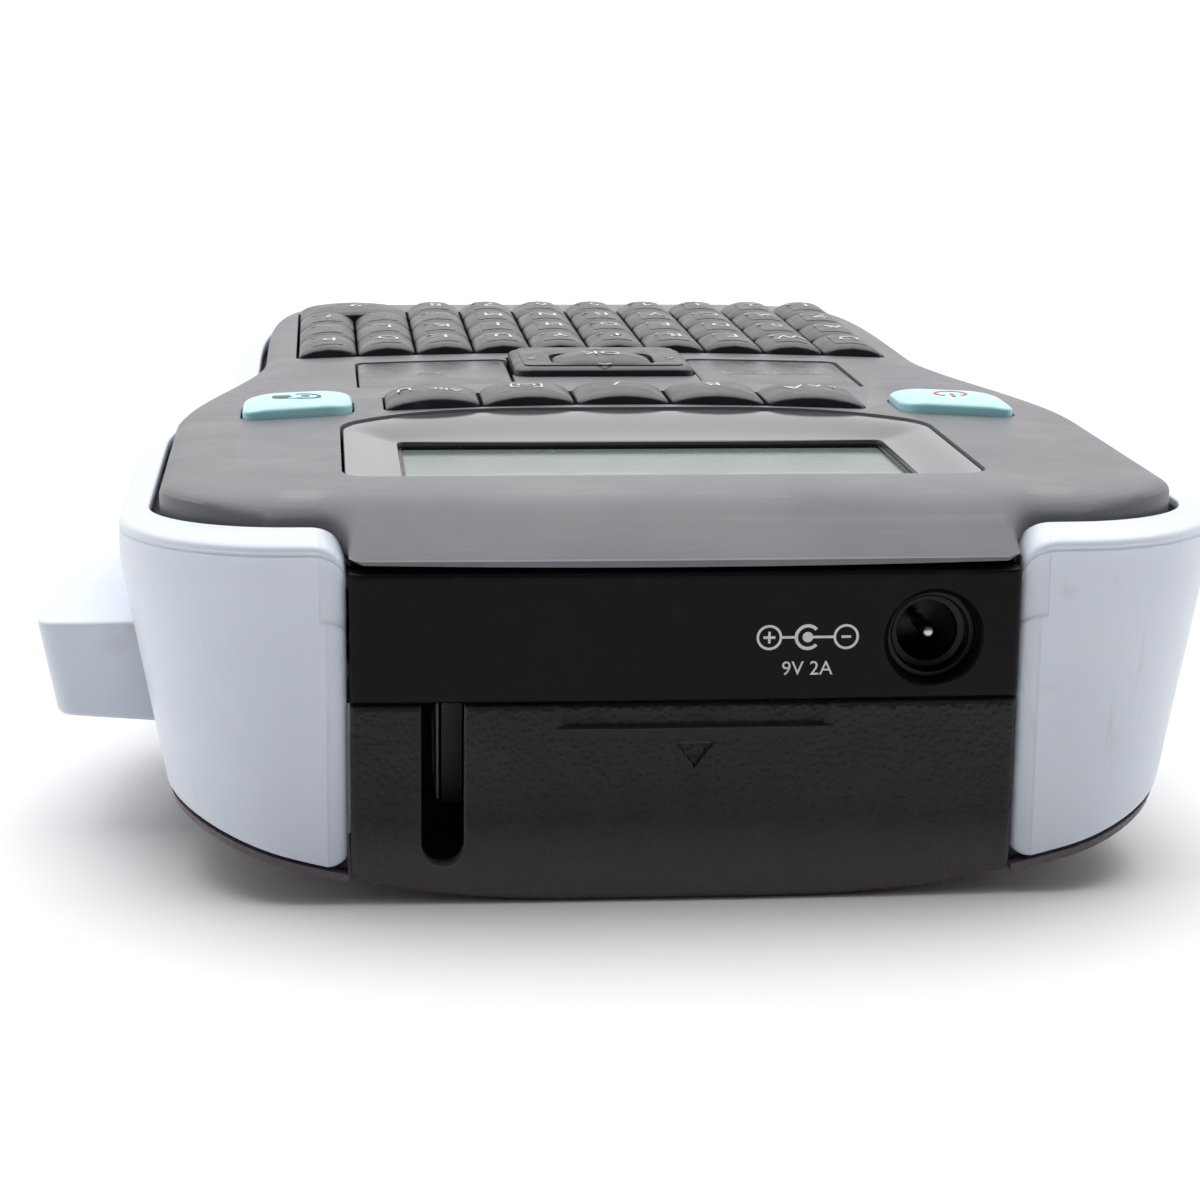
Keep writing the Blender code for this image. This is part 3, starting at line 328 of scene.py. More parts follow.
# splits the faces wherever a level plane across Y passes
def sliceAcross(piece, levels):
    bm = bmesh.new()
    bm.from_mesh(piece.data)
    for y in levels:
        bmesh.ops.bisect_plane(bm, geom=bm.verts[:] + bm.edges[:] + bm.faces[:],
                               plane_co=(0, y, 0), plane_no=(0, 1, 0))
    bm.to_mesh(piece.data)
    bm.free()


def dress(piece, body, slot, finish, *nodes, angle=32):
    piece.data.shade_smooth()
    piece.data.set_sharp_from_angle(angle=math.radians(angle))
    piece.data.materials.clear()
    piece.data.materials.append(materials[finish])
    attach(piece, body)
    if nodes:
        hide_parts(*nodes)
    return piece


# the corners of an outline turned into arcs
def roundOff(corners, radius, steps=6):
    points = []
    count = len(corners)
    for i, corner in enumerate(corners):
        here = Vector(corner)
        before = Vector(corners[i - 1]) - here
        after = Vector(corners[(i + 1) % count]) - here
        reach = min(radius, before.length * 0.49, after.length * 0.49)
        start = here + before.normalized() * reach
        end = here + after.normalized() * reach
        for k in range(steps + 1):
            t = k / steps
            points.append(tuple(start * (1 - t) ** 2 + here * 2 * t * (1 - t) + end * t ** 2))
    return points


# an outline moved inwards by a distance
def drawIn(plan, distance):
    count = len(plan)
    area = sum(plan[i - 1][0] * plan[i][1] - plan[i][0] * plan[i - 1][1] for i in range(count))
    turn = 1 if area > 0 else -1
    moved = []
    for i in range(count):
        before = (Vector(plan[i]) - Vector(plan[i - 1])).normalized()
        after = (Vector(plan[(i + 1) % count]) - Vector(plan[i])).normalized()
        along = (before + after).normalized()
        inward = Vector((-along.y, along.x)) * turn
        moved.append(tuple(Vector(plan[i]) + inward * distance / max(along.dot(before), 0.4)))
    return moved


# the shape of the body

bodyPlan = {
    "shoulderHalf": shellBox[1].x,
    "hipHalf": 49.0 * mm,
    "nearEnd": -shellBox[0].y,
    "farEnd": shellBox[0].y,
    "shoulderEnd": -shellBox[0].y - 58 * mm,
    "hipStart": -shellBox[0].y - 116 * mm,
    "cornerRadius": 18 * mm,
    "endBow": 0.7 * mm,
    "tailLength": 78 * mm,
    "tailPower": 3.2,
    "sideLean": 0.19,
    "endLean": 0.03,
    "leanStart": faceTop - 8.2 * mm,
    "footCurve": 6 * mm,           # how far the sides tuck in at the very bottom
    "footHeight": 12 * mm,
    "bellyFlat": 12 * mm,
    "bellyRadius": 106 * mm,
    "tailDrop": 4 * mm,
    "tailDropStart": shellBox[0].y + 48 * mm,
    "rimHeight": faceTop - 2.9 * mm,
    "stripHalf": panelBox[1].x + 0.3 * mm,
}
flatHalf = bodyPlan["shoulderHalf"] - bodyPlan["cornerRadius"]
cornerStart = bodyPlan["nearEnd"] - bodyPlan["cornerRadius"]
tailStart = bodyPlan["farEnd"] + bodyPlan["tailLength"]


def halfWidth(y):
    share = (y - bodyPlan["hipStart"]) / (bodyPlan["shoulderEnd"] - bodyPlan["hipStart"])
    share = min(max(share, 0.0), 1.0)
    blend = share * share * (3 - 2 * share)
    return bodyPlan["hipHalf"] + (bodyPlan["shoulderHalf"] - bodyPlan["hipHalf"]) * blend


def exitEdge(x):
    return bodyPlan["nearEnd"] + bodyPlan["endBow"] * (1 - min(abs(x) / flatHalf, 1.0) ** 2)


# stations are places round the right-hand half of the plan, from the exit end to the far end
def makeStations(startX):
    stations = [("end", startX + (flatHalf - startX) * i / 10) for i in range(10)]
    stations += [("corner", math.pi / 2 * (1 - i / 18)) for i in range(19)]
    stations += [("side", cornerStart + (tailStart - cornerStart) * i / 44) for i in range(1, 44)]
    stations += [("tail", math.pi / 2 * i / 36) for i in range(37)]
    return stations


def planPoint(station, side, near, far):
    kind, value = station
    if kind == "end":
        return value, exitEdge(value) - near
    if kind == "corner":
        radius = bodyPlan["cornerRadius"]
        return (flatHalf + (radius - side) * math.cos(value),
                cornerStart + (radius - near) * math.sin(value))
    if kind == "side":
        return halfWidth(value) - side, value
    across = max(math.cos(value), 0.0) ** (2 / bodyPlan["tailPower"])
    along = math.sin(value) ** (2 / bodyPlan["tailPower"])
    return ((bodyPlan["hipHalf"] - side) * across,
            tailStart - (bodyPlan["tailLength"] - far) * along)


def wholePlan(side, near, far):
    half = [planPoint(station, side, near, far) for station in makeStations(0.0)]
    return half + [(-x, y) for x, y in reversed(half[1:-1])]


def leanAt(z):
    low = max(bodyPlan["footHeight"] - z, 0.0) / bodyPlan["footHeight"]
    side = bodyPlan["sideLean"] * max(bodyPlan["leanStart"] - z, 0.0) + bodyPlan["footCurve"] * low ** 3
    near = bodyPlan["endLean"] * max(bodyPlan["rimHeight"] - z, 0.0)
    return side, near


def bellyHeight(x):
    return max(abs(x) - bodyPlan["bellyFlat"], 0.0) ** 2 / (2 * bodyPlan["bellyRadius"])


def tailFall(y):
    share = (bodyPlan["tailDropStart"] - y) / (bodyPlan["tailDropStart"] - bodyPlan["farEnd"])
    return bodyPlan["tailDrop"] * max(share, 0.0) ** 2


# everything below the back's surface, raised by an amount
def belowBelly(name, offset):
    half = 2 * bodyPlan["shoulderHalf"]
    xs = [half * (i / 60 - 1) for i in range(121)]
    profile = [(x, bellyHeight(x) + offset) for x in xs] + [(half, -0.03), (-half, -0.03)]
    return loftLoops(name, [[(x, y, z) for x, z in profile] for y in (-0.2, 0.2)])


# side shells

sideShell = {
    "wall": 2.0 * mm,
    "trim": 0.8 * mm,              # edge of the back case that shows below
    "gap": 0.3 * mm,
    "rimSide": 2.9 * mm,           # width of the sloping rim along the sides
    "rimEnd": 4.7 * mm,            # and at the exit end
    "groove": 0.14 * mm,           # depth of the line under the rim
    "stripWidth": 2.7 * mm,        # frame along the mouth edge
    "stripStep": 30.4 * mm,        # height where that frame steps back
    "stripDeep": 1.0 * mm,
    "stripShallow": 0.75 * mm,
    "mouthRound": 3.6 * mm,
}


# how far the mouth's frame is set back, at s from the mouth edge and height z
def stripInset(s, z):
    s = max(s, 0.0)
    step = 1 / (1 + math.exp(-(z - sideShell["stripStep"]) / (0.07 * mm)))
    upper = 0.0
    if s < sideShell["stripWidth"]:
        upper = 0.12 * mm + sideShell["stripDeep"] * (1 - s / sideShell["stripWidth"]) ** 1.3
    lowWidth = sideShell["stripWidth"] * 0.72
    lower = 0.0
    if s < lowWidth:
        lower = 0.16 * mm + sideShell["stripShallow"] * (1 - s / lowWidth) ** 1.2
    edge = 0.35 * mm * max(1 - s / (0.45 * mm), 0.0) ** 2
    return lower + (upper - lower) * step + edge


def rimRows():
    shell = sideShell
    rows = []
    for drop, share in ((2.35, 0), (2.2, 0), (2.08, 0), (1.86, 0), (1.72, 0), (1.5, 0.0),
                        (1.25, 0.03), (1.05, 0.09), (0.88, 0.19), (0.72, 0.33), (0.56, 0.5),
                        (0.34, 0.72), (0.14, 0.9), (0.03, 0.98), (0.0, 1.0)):
        groove = shell["groove"] if drop in (2.08, 1.86) else 0.0
        rows.append((drop * mm, shell["rimSide"] * share + groove, shell["rimEnd"] * share + groove))
    for drop, more in ((0.02, 0.2), (0.12, 0.33), (0.3, 0.4), (0.9, 0.4)):
        rows.append((drop * mm, shell["rimSide"] + more * mm, shell["rimEnd"] + more * mm))
    rows.append((0.95 * mm, shell["wall"] + 0.4 * mm, shell["wall"] + 0.4 * mm))
    return rows


def shellColumn(station, s):
    shell = sideShell
    rim = bodyPlan["rimHeight"]
    foot = 3 * mm
    for _ in range(8):
        side, near = leanAt(foot)
        x, y = planPoint(station, side, near, side)
        foot = bellyHeight(x) + shell["trim"] + shell["gap"]
    fall = tailFall(y)
    lift = 1.4 * mm * max(1 - s / (2.2 * mm), 0.0) ** 2      # rounded lower corner at the mouth
    foot += lift
    round0 = shell["mouthRound"]
    cornerFall = 0.0
    if s < round0:
        cornerFall = round0 - math.sqrt(max(round0 ** 2 - (round0 - s) ** 2, 0.0))
    top = rim - 2.6 * mm
    loop = []

    def place(z, side, near, hidden=False):
        drop = (fall + cornerFall) * max((z - foot) / (rim - foot), 0.0) ** 3
        if not hidden:
            extra = stripInset(s, z)
            side, near = side + extra, near + extra
        x, y = planPoint(station, side, near, side)
        loop.append((x, y, z - drop))

    for up, inset in ((0.0, 0.55), (0.08, 0.28), (0.25, 0.1), (0.55, 0.0)):
        side, near = leanAt(foot + up * mm)
        place(foot + up * mm, side + inset * mm, near + inset * mm)
    low = foot + 1.1 * mm
    step = shell["stripStep"]
    heights = [low + (step - 0.4 * mm - low) * i / 22 for i in range(23)]
    heights += [step - 0.15 * mm, step - 0.05 * mm, step + 0.05 * mm, step + 0.15 * mm]
    heights += [step + 0.4 * mm + (top - step - 0.4 * mm) * i / 5 for i in range(6)]
    for z in heights:
        side, near = leanAt(z)
        place(z, side, near)
    for drop, side, near in rimRows():
        place(rim - drop, side, near, hidden=drop > 0.94 * mm and side > 1 * mm)
    for i in range(10):
        z = (top - 1 * mm) + (foot - top + 1 * mm) * i / 9
        side, near = leanAt(z)
        place(z, side + shell["wall"], near + shell["wall"], hidden=True)
    return loop


def makeShell(name, hand):
    start = bodyPlan["stripHalf"]
    places = [0, 0.1, 0.25, 0.45, 0.8, 1.2, 1.6, 1.9, 2.1, 2.4, 2.62, 2.69, 2.72, 2.9, 3.2, 3.6, 4.6]
    columns = [(("end", start + s * mm), s * mm) for s in places]
    rest = [station for station in makeStations(start) if station[0] != "end"]
    columns += [(station, 1.0) for station in rest[:-1]]
    loops = [shellColumn(station, s) for station, s in columns]
    seam = 0.15 * mm
    last = shellColumn(("tail", math.pi / 2), 1.0)
    loops.append([(seam, y, z) for x, y, z in last])
    loops = [[(hand * max(x, seam), y, z) for x, y, z in loop] for loop in loops]
    return loftLoops(name, loops)


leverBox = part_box("cutter_lever")
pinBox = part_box("lever_pivot_pin")
pivot = (pinBox[0] + pinBox[1]) / 2

shellRight = makeShell("sideShellRight", 1)
opening = block("leverOpening", (pivot.x - 5 * mm, pivot.y - 5 * mm, leverBox[0].z - 1.2 * mm),
                (0.12, 79.5 * mm, leverBox[1].z + 1.2 * mm), 1.2 * mm)
carve(shellRight, opening)
dress(shellRight, "housing", "white_plastic", "whitePlastic", "side_shell_right")
shellLeft = makeShell("sideShellLeft", -1)
dress(shellLeft, "housing", "white_plastic", "whitePlastic", "side_shell_left")
print("side shells made")


# keypad face

face = {
    "depth": 5.6 * mm,
    "roll": ((5.6, 0, 0), (1.5, 0, 0), (1.1, 0.12, 0.05), (0.75, 0.5, 0.12), (0.5, 1.0, 0.2),
             (0.32, 1.7, 0.28), (0.18, 2.6, 0.36), (0.08, 3.7, 0.42),
              (0.02, 5.2, 0.46), (0.0, 6.6, 0.5)),
    "seam": 1.4 * mm,              # from the rim's inner edge to the face
    "creaseY": bodyPlan["nearEnd"] - 8 * mm,
    "stripFoot": faceTop - 6.5 * mm,
    "notchRound": 3.4 * mm,
    "plate": 2.0 * mm,
}
stripEdge = bodyPlan["stripHalf"] - 0.3 * mm


# right-hand half of the face's outline; roll is its inset on the sides, slight that at the strip
def facePlan(roll, slight):
    side = sideShell["rimSide"] + face["seam"]
    near = sideShell["rimEnd"] + face["seam"]
    half = []
    for i in range(24):
        x = (stripEdge - slight) * i / 24
        half.append((x, exitEdge(x) - 0.1 * mm - slight * 0.4))
    corner = face["notchRound"]
    stripX = stripEdge - slight
    shelfY = bodyPlan["nearEnd"] - near
    half += roundOffLine((stripX, exitEdge(stripX) - 0.1 * mm - slight * 0.4),
                         (stripX, shelfY + corner), 3)
    for i in range(9):
        angle = math.pi + math.pi / 2 * i / 8
        grow = corner + slight + (roll - slight) * i / 8
        half.append((stripEdge + corner + grow * math.cos(angle),
                     shelfY + corner + grow * math.sin(angle)))
    first = stripEdge + corner
    for i in range(1, 4):
        half.append((first + (flatHalf - first) * i / 4, shelfY - roll))
    for station in makeStations(0.0):
        if station[0] != "end":
            half.append(planPoint(station, side + roll, near + roll, side + roll))
    return half


def roundOffLine(start, end, steps):
    return [(start[0] + (end[0] - start[0]) * i / steps, start[1] + (end[1] - start[1]) * i / steps)
            for i in range(1, steps)]


# how far the face has fallen at y: the sloping strip at one end, the tail at the other
def faceFall(y):
    slope = (faceTop - face["stripFoot"]) / (bodyPlan["nearEnd"] + bodyPlan["endBow"] - face["creaseY"])
    past = y - face["creaseY"]
    soft = 0.9 * mm
    ramp = past if past > 8 * soft else soft * math.log1p(math.exp(past / soft))
    return slope * ramp + tailFall(y)


keypad = {
    "gap": 0.3 * mm,
    "rise": 1.2 * mm,
    "crown": 0.6 * mm,
    "dome": 0.85 * mm,             # how far a cap's sides fall below its middle
    "foot": faceTop - 3.9 * mm,
    "functionHalf": 29.4 * mm,
    "functionNear": 33.6 * mm,
    "functionDepth": 11.4 * mm,
    "functionSag": 4.6 * mm,
    "letterHalf": 40.3 * mm,
    "letterNear": -15.0 * mm,
    "letterPitch": 12.2 * mm,
    "letterSag": 6.0 * mm,
    "letterSagStep": 1.1 * mm,
    "softInner": 12.4 * mm,
    "softOuter": 32.4 * mm,
    "softNear": 13.8 * mm,
    "softFar": -8.4 * mm,
    "colourInner": 33.5 * mm,
    "colourOuter": 46.6 * mm,
    "colourNearInner": 41.0 * mm,
    "colourNearOuter": 45.8 * mm,
    "colourDepth": 11.4 * mm,
}


# a plan between a near and a far edge, each a function of x
def bandPlan(left, right, near, far, steps=8):
    xs = [left + (right - left) * i / steps for i in range(steps + 1)]
    return [(x, near(x)) for x in xs] + [(x, far(x)) for x in reversed(xs)]


def functionEdge(x):
    return keypad["functionNear"] + keypad["functionSag"] * (x / keypad["functionHalf"]) ** 2


def letterEdge(row):
    sag = keypad["letterSag"] - keypad["letterSagStep"] * row
    return lambda x: (keypad["letterNear"] - keypad["letterPitch"] * row
                      + sag * (x / keypad["letterHalf"]) ** 2)


def softPlan(hand):
    near = lambda x: keypad["softNear"] + keypad["functionSag"] * (x / keypad["functionHalf"]) ** 2
    far = lambda x: keypad["softFar"] + keypad["letterSag"] * (x / keypad["letterHalf"]) ** 2
    left, right = sorted((hand * keypad["softInner"], hand * keypad["softOuter"]))
    return roundCorners(bandPlan(left, right, near, far), 1.6 * mm)


def colourPlan(hand):
    inner, outer = keypad["colourInner"], keypad["colourOuter"]
    near = [(hand * inner, keypad["colourNearInner"]), (hand * outer, keypad["colourNearOuter"])]
    far = [(x, y - keypad["colourDepth"]) for x, y in reversed(near)]
    return roundOff(near + far, 2.9 * mm, 8)


# rounds only the corners of an outline that turn sharply
def roundCorners(plan, radius, steps=6):
    points = []
    count = len(plan)
    for i in range(count):
        here = Vector(plan[i])
        before = (Vector(plan[i - 1]) - here)
        after = (Vector(plan[(i + 1) % count]) - here)
        if before.normalized().dot(after.normalized()) < -0.8:
            points.append(tuple(here))
            continue
        start = here + before.normalized() * min(radius, before.length * 0.95)
        end = here + after.normalized() * min(radius, after.length * 0.95)
        for k in range(steps + 1):
            t = k / steps
            points.append(tuple(start * (1 - t) ** 2 + here * 2 * t * (1 - t) + end * t ** 2))
    return points


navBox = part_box("nav_plate")
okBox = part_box("ok_key")


def navPlan():
    low, high = navBox
    return roundOff([(low.x, high.y), (high.x, high.y), (high.x, low.y), (low.x, low.y)], 2.2 * mm, 8)


window = {
    "farBow": 12.2 * mm,
    "glassHalf": 28.5 * mm,
    "glassNear": bodyPlan["nearEnd"] - 20.1 * mm,
    "glassFar": bodyPlan["nearEnd"] - 49.1 * mm,
    "dish": 1.05 * mm,             # how far the bezel dips towards the screen
    "screenDepth": 2.1 * mm,
}


def windowPlan():
    low, high = windowBox
    corner = low.y + window["farBow"]
    xs = [high.x * (1 - i / 16) for i in range(33)]
    far = [(x, corner - window["farBow"] * (1 - (x / high.x) ** 4)) for x in xs]
    return roundCorners([(low.x, high.y), (high.x, high.y)] + far, 3.4 * mm, 8)


openings = {
    "window": windowPlan(),
    "functionRow": roundCorners(
        bandPlan(-keypad["functionHalf"], keypad["functionHalf"], functionEdge,
                 lambda x: functionEdge(x) - keypad["functionDepth"], 24), 1.2 * mm),
    "nav": navPlan(),
    "letters": roundCorners(bandPlan(-keypad["letterHalf"], keypad["letterHalf"], letterEdge(0),
                                     letterEdge(4), 24), 1.4 * mm),
    "softRight": softPlan(1), "softLeft": softPlan(-1),
    "colourRight": colourPlan(1), "colourLeft": colourPlan(-1),
}


def makeFace():
    loops = []
    for down, roll, slight in face["roll"]:
        half = facePlan(roll * mm, slight * mm)
        plan = half + [(-x, y) for x, y in reversed(half[1:-1])]
        loops.append([(x, y, faceTop - down * mm) for x, y in plan])
    piece = loftLoops("keypadFace", loops)
    inner = wholePlan(sideShell["rimSide"] + 3.2 * mm, sideShell["rimEnd"] + 8 * mm, 24 * mm)
    carve(piece, prism("faceHollow", inner, 0.0, faceTop - face["plate"]))
    for name, plan in openings.items():
        carve(piece, prism(name + "Opening", drawIn(plan, -keypad["gap"]), 0.0, 0.08))
    soften(piece, 0.28 * mm, 2, 60)
    crease, far = face["creaseY"], bodyPlan["farEnd"]
    levels = [crease + d * mm
              for d in (-3.5, -2.5, -1.8, -1.2, -0.7, -0.3, 0.1, 0.5, 1, 1.6, 2.4, 3.4, 5, 7)]
    levels += [bodyPlan["tailDropStart"] + (far - bodyPlan["tailDropStart"]) * i / 14 for i in range(14)]
    sliceAcross(piece, levels)
    for vertex in piece.data.vertices:
        share = min(max((vertex.co.z - faceTop + face["depth"]) / face["depth"], 0.0), 1.0)
        vertex.co.z -= faceFall(vertex.co.y) * share
    return piece


keypadFace = makeFace()
dress(keypadFace, "housing", "face_plastic", "faceSatin", "face_cover", angle=28)
print("keypad face made")


# exit end: panel, tape cover, power inlet

exitEnd = {
    "seam": panelBox[0].z - 0.15 * mm,
    "wall": 2.2 * mm,
    "edge": 0.45 * mm,             # rounding of the panels' edges
    "slotCentre": 25.1 * mm,
    "slotWidth": 4.5 * mm,
    "slotFoot": 4.2 * mm,
    "ledgeLow": 18.9 * mm,
    "ledgeLeft": -14.6 * mm,
    "ledgeRight": 12.8 * mm,
    "ledgeDepth": 0.75 * mm,
    "backLip": 1.8 * mm,           # radius where the end turns under
    "arrow": ((-3.0, 17.2), (1.1, 17.2), (-0.95, 14.5)),
}
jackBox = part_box("dc_jack")
jackMiddle = (jackBox[0] + jackBox[1]) / 2


def wallY(x, z):
    return exitEdge(x) - leanAt(z)[1]


def easeStep(value, edge, width):
    t = min(max((value - edge) / width + 0.5, 0.0), 1.0)
    return t * t * (3 - 2 * t)


def makeEndPanel():
    half = stripEdge
    low, high = panelBox[0].z, panelBox[1].z
    r = exitEnd["edge"]
    columns = [(-half + d * mm, e) for d, e in ((0, 0.35), (0.08, 0.18), (0.2, 0.07), (0.4, 0.0))]
    columns += [(-half + 1.2 * mm + (2 * half - 2.4 * mm) * i / 60, 0.0) for i in range(61)]
    columns += [(half - d * mm, e) for d, e in ((0.4, 0.0), (0.2, 0.07), (0.08, 0.18), (0, 0.35))]
    loops = []
    for x, back in columns:
        loop = []
        rows = [(low, 1.0), (low + 0.1 * mm, 0.45), (low + 0.25 * mm, 0.12), (low + r, 0.0)]
        rows += [(low + 1 * mm + (high - low - 2 * mm) * i / 12, 0.0) for i in range(13)]
        rows += [(high - r, 0.0), (high - 0.25 * mm, 0.12), (high - 0.1 * mm, 0.45), (high, 1.0)]
        for z, share in rows:
            loop.append((x, wallY(x, z) - share * r - back * mm, z))
        for z in (high, low):
            loop.append((x, wallY(x, z) - exitEnd["wall"], z))
        loops.append(loop)
    panel = loftLoops("endPanel", loops)
    near = bodyPlan["nearEnd"]
    steps = [(4.7, -13), (4.7, -1.15), (4.75, -0.7), (4.95, -0.35), (5.25, 0.0), (5.5, 0.6), (5.5, 3)]
    hole = turned("jackHole", [(radius * mm, near + y * mm) for radius, y in steps],
                  (jackMiddle.x, 0, jackMiddle.z), "Y", 96)
    return carve(panel, hole)


dress(makeEndPanel(), "housing", "black_plastic", "caseBlack", "end_panel")


# socket with a stepped mouth and a stepped bore
def makeJack():
    low, high = jackBox
    outer = (high.x - low.x) / 2
    steps = [(outer, low.y), (outer, high.y - 0.3 * mm), (outer - 0.3 * mm, high.y),
             (4.15 * mm, high.y), (3.95 * mm, high.y - 0.25 * mm), (3.9 * mm, high.y - 1.6 * mm),
             (3.25 * mm, high.y - 1.7 * mm), (3.15 * mm, high.y - 1.9 * mm),
              (3.1 * mm, low.y + 3.2 * mm)]
    socket = turned("powerInlet", steps, (jackMiddle.x, 0, jackMiddle.z), "Y", 72)
    return socket


dress(makeJack(), "housing", "black_plastic", "jackBlack", "dc_jack", angle=25)
pinLow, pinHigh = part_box("dc_jack_pin")
pinMiddle = (pinLow + pinHigh) / 2
pinSteps = [(0.75, -6.0), (0.75, -0.75), (0.72, -0.45), (0.62, -0.2), (0.45, -0.05), (0.2, 0.0)]
pin = turned("powerInletPin", [(r * mm, pinHigh.y + y * mm) for r, y in pinSteps],
             (pinMiddle.x, 0, pinMiddle.z), "Y", 32)
dress(pin, "housing", "steel", "steel", "dc_jack_pin")


def makeTapeCover():
    half = stripEdge
    high = coverBox[1].z
    wall, lip = exitEnd["wall"], exitEnd["backLip"]
    backStart = coverBox[0].y
    loops = []
    columns = [(-half + d * mm, e) for d, e in ((0, 0.4), (0.08, 0.22), (0.22, 0.09), (0.45, 0.0))]
    columns += [(-half + 0.9 * mm + (2 * half - 1.8 * mm) * i / 150, 0.0) for i in range(151)]
    columns += [(half - d * mm, e) for d, e in ((0.45, 0.0), (0.22, 0.09), (0.08, 0.22), (0, 0.4))]
    for x, back in columns:
        low = bellyHeight(x)
        across = (easeStep(x, exitEnd["ledgeLeft"], 1.2 * mm)
                  - easeStep(x, exitEnd["ledgeRight"], 1.2 * mm))
        loop = []
        r = exitEnd["edge"]
        for z, share in ((high, 1.0), (high - 0.1 * mm, 0.45),
                         (high - 0.25 * mm, 0.12), (high - r, 0.0)):
            ledge = exitEnd["ledgeDepth"] * across
            loop.append((x, wallY(x, z) - share * r - back * mm - ledge, z))
        edge = exitEnd["ledgeLow"]
        heights = [high - 0.8 * mm, high - 1.2 * mm]
        heights += [edge + d * mm for d in (0.9, 0.5, 0.3, 0.18, 0.08, 0.02, -0.05, -0.15, -0.3, -0.6)]
        heights += [edge - 1.2 * mm + (low + lip - edge + 1.2 * mm) * i / 26 for i in range(27)]
        for z in heights:
            ledge = exitEnd["ledgeDepth"] * across * easeStep(z, edge + 0.08 * mm, 0.3 * mm)
            brow = -0.12 * mm * across * math.exp(-((z - edge + 0.1 * mm) / (0.35 * mm)) ** 2)
            loop.append((x, wallY(x, z) - back * mm - ledge - brow, z))
        for i in range(1, 9):
            angle = math.pi / 2 * i / 8
            z = low + lip - lip * math.sin(angle)
            y = wallY(x, low + lip) - lip * (1 - math.cos(angle)) - back * mm
            loop.append((x, y, z))
        startY = wallY(x, low + lip) - lip - 1 * mm
        for i in range(24):
            loop.append((x, startY + (backStart + 1.2 * mm - startY) * i / 23, low + back * 0.4 * mm))
        for y, up in ((0.6, 0.06), (0.25, 0.25), (0.0, 0.8), (0.0, 1.4)):
            loop.append((x, backStart + y * mm, low + up * mm))
        floorTop = low + exitEnd["wall"] - 0.4 * mm
        loop.append((x, backStart + 0.6 * mm, floorTop))
        for i in range(9):
            loop.append((x, backStart + 1 * mm + (startY - wall - backStart) * i / 8, floorTop))
        loop.append((x, wallY(x, low + lip) - wall, floorTop + 1.2 * mm))
        loop.append((x, wallY(x, high) - wall, high))
        loops.append(loop)
    cover = loftLoops("tapeCover", loops)

    # slot open at the top, round at its foot
    centre, radius = exitEnd["slotCentre"], exitEnd["slotWidth"] / 2
    foot = exitEnd["slotFoot"] + radius
    slot = [(centre + radius * math.cos(a), foot + radius * math.sin(a))
            for a in [math.pi + math.pi * i / 24 for i in range(25)]]
    slot += [(centre + radius, 2 * exitEnd["seam"]), (centre - radius, 2 * exitEnd["seam"])]
    near = bodyPlan["nearEnd"]
    cutter = loftLoops("tapeSlot", [[(x, y, z) for x, z in slot]
                                    for y in (near - 13 * mm, near + 6 * mm)])
    carve(cover, cutter)
    mark = [(x * mm, z * mm) for x, z in exitEnd["arrow"]]
    sink = loftLoops("arrowMark", [[(x, y, z) for x, z in mark]
                                   for y in (near - 0.6 * mm, near + 6 * mm)])
    carve(cover, sink)
    return cover


dress(makeTapeCover(), "tape_cover", "black_plastic", "leatherBlack", "tape_cover", angle=38)
print("exit end made")

signThick = 0.05       # of the printed signs, in millimetres


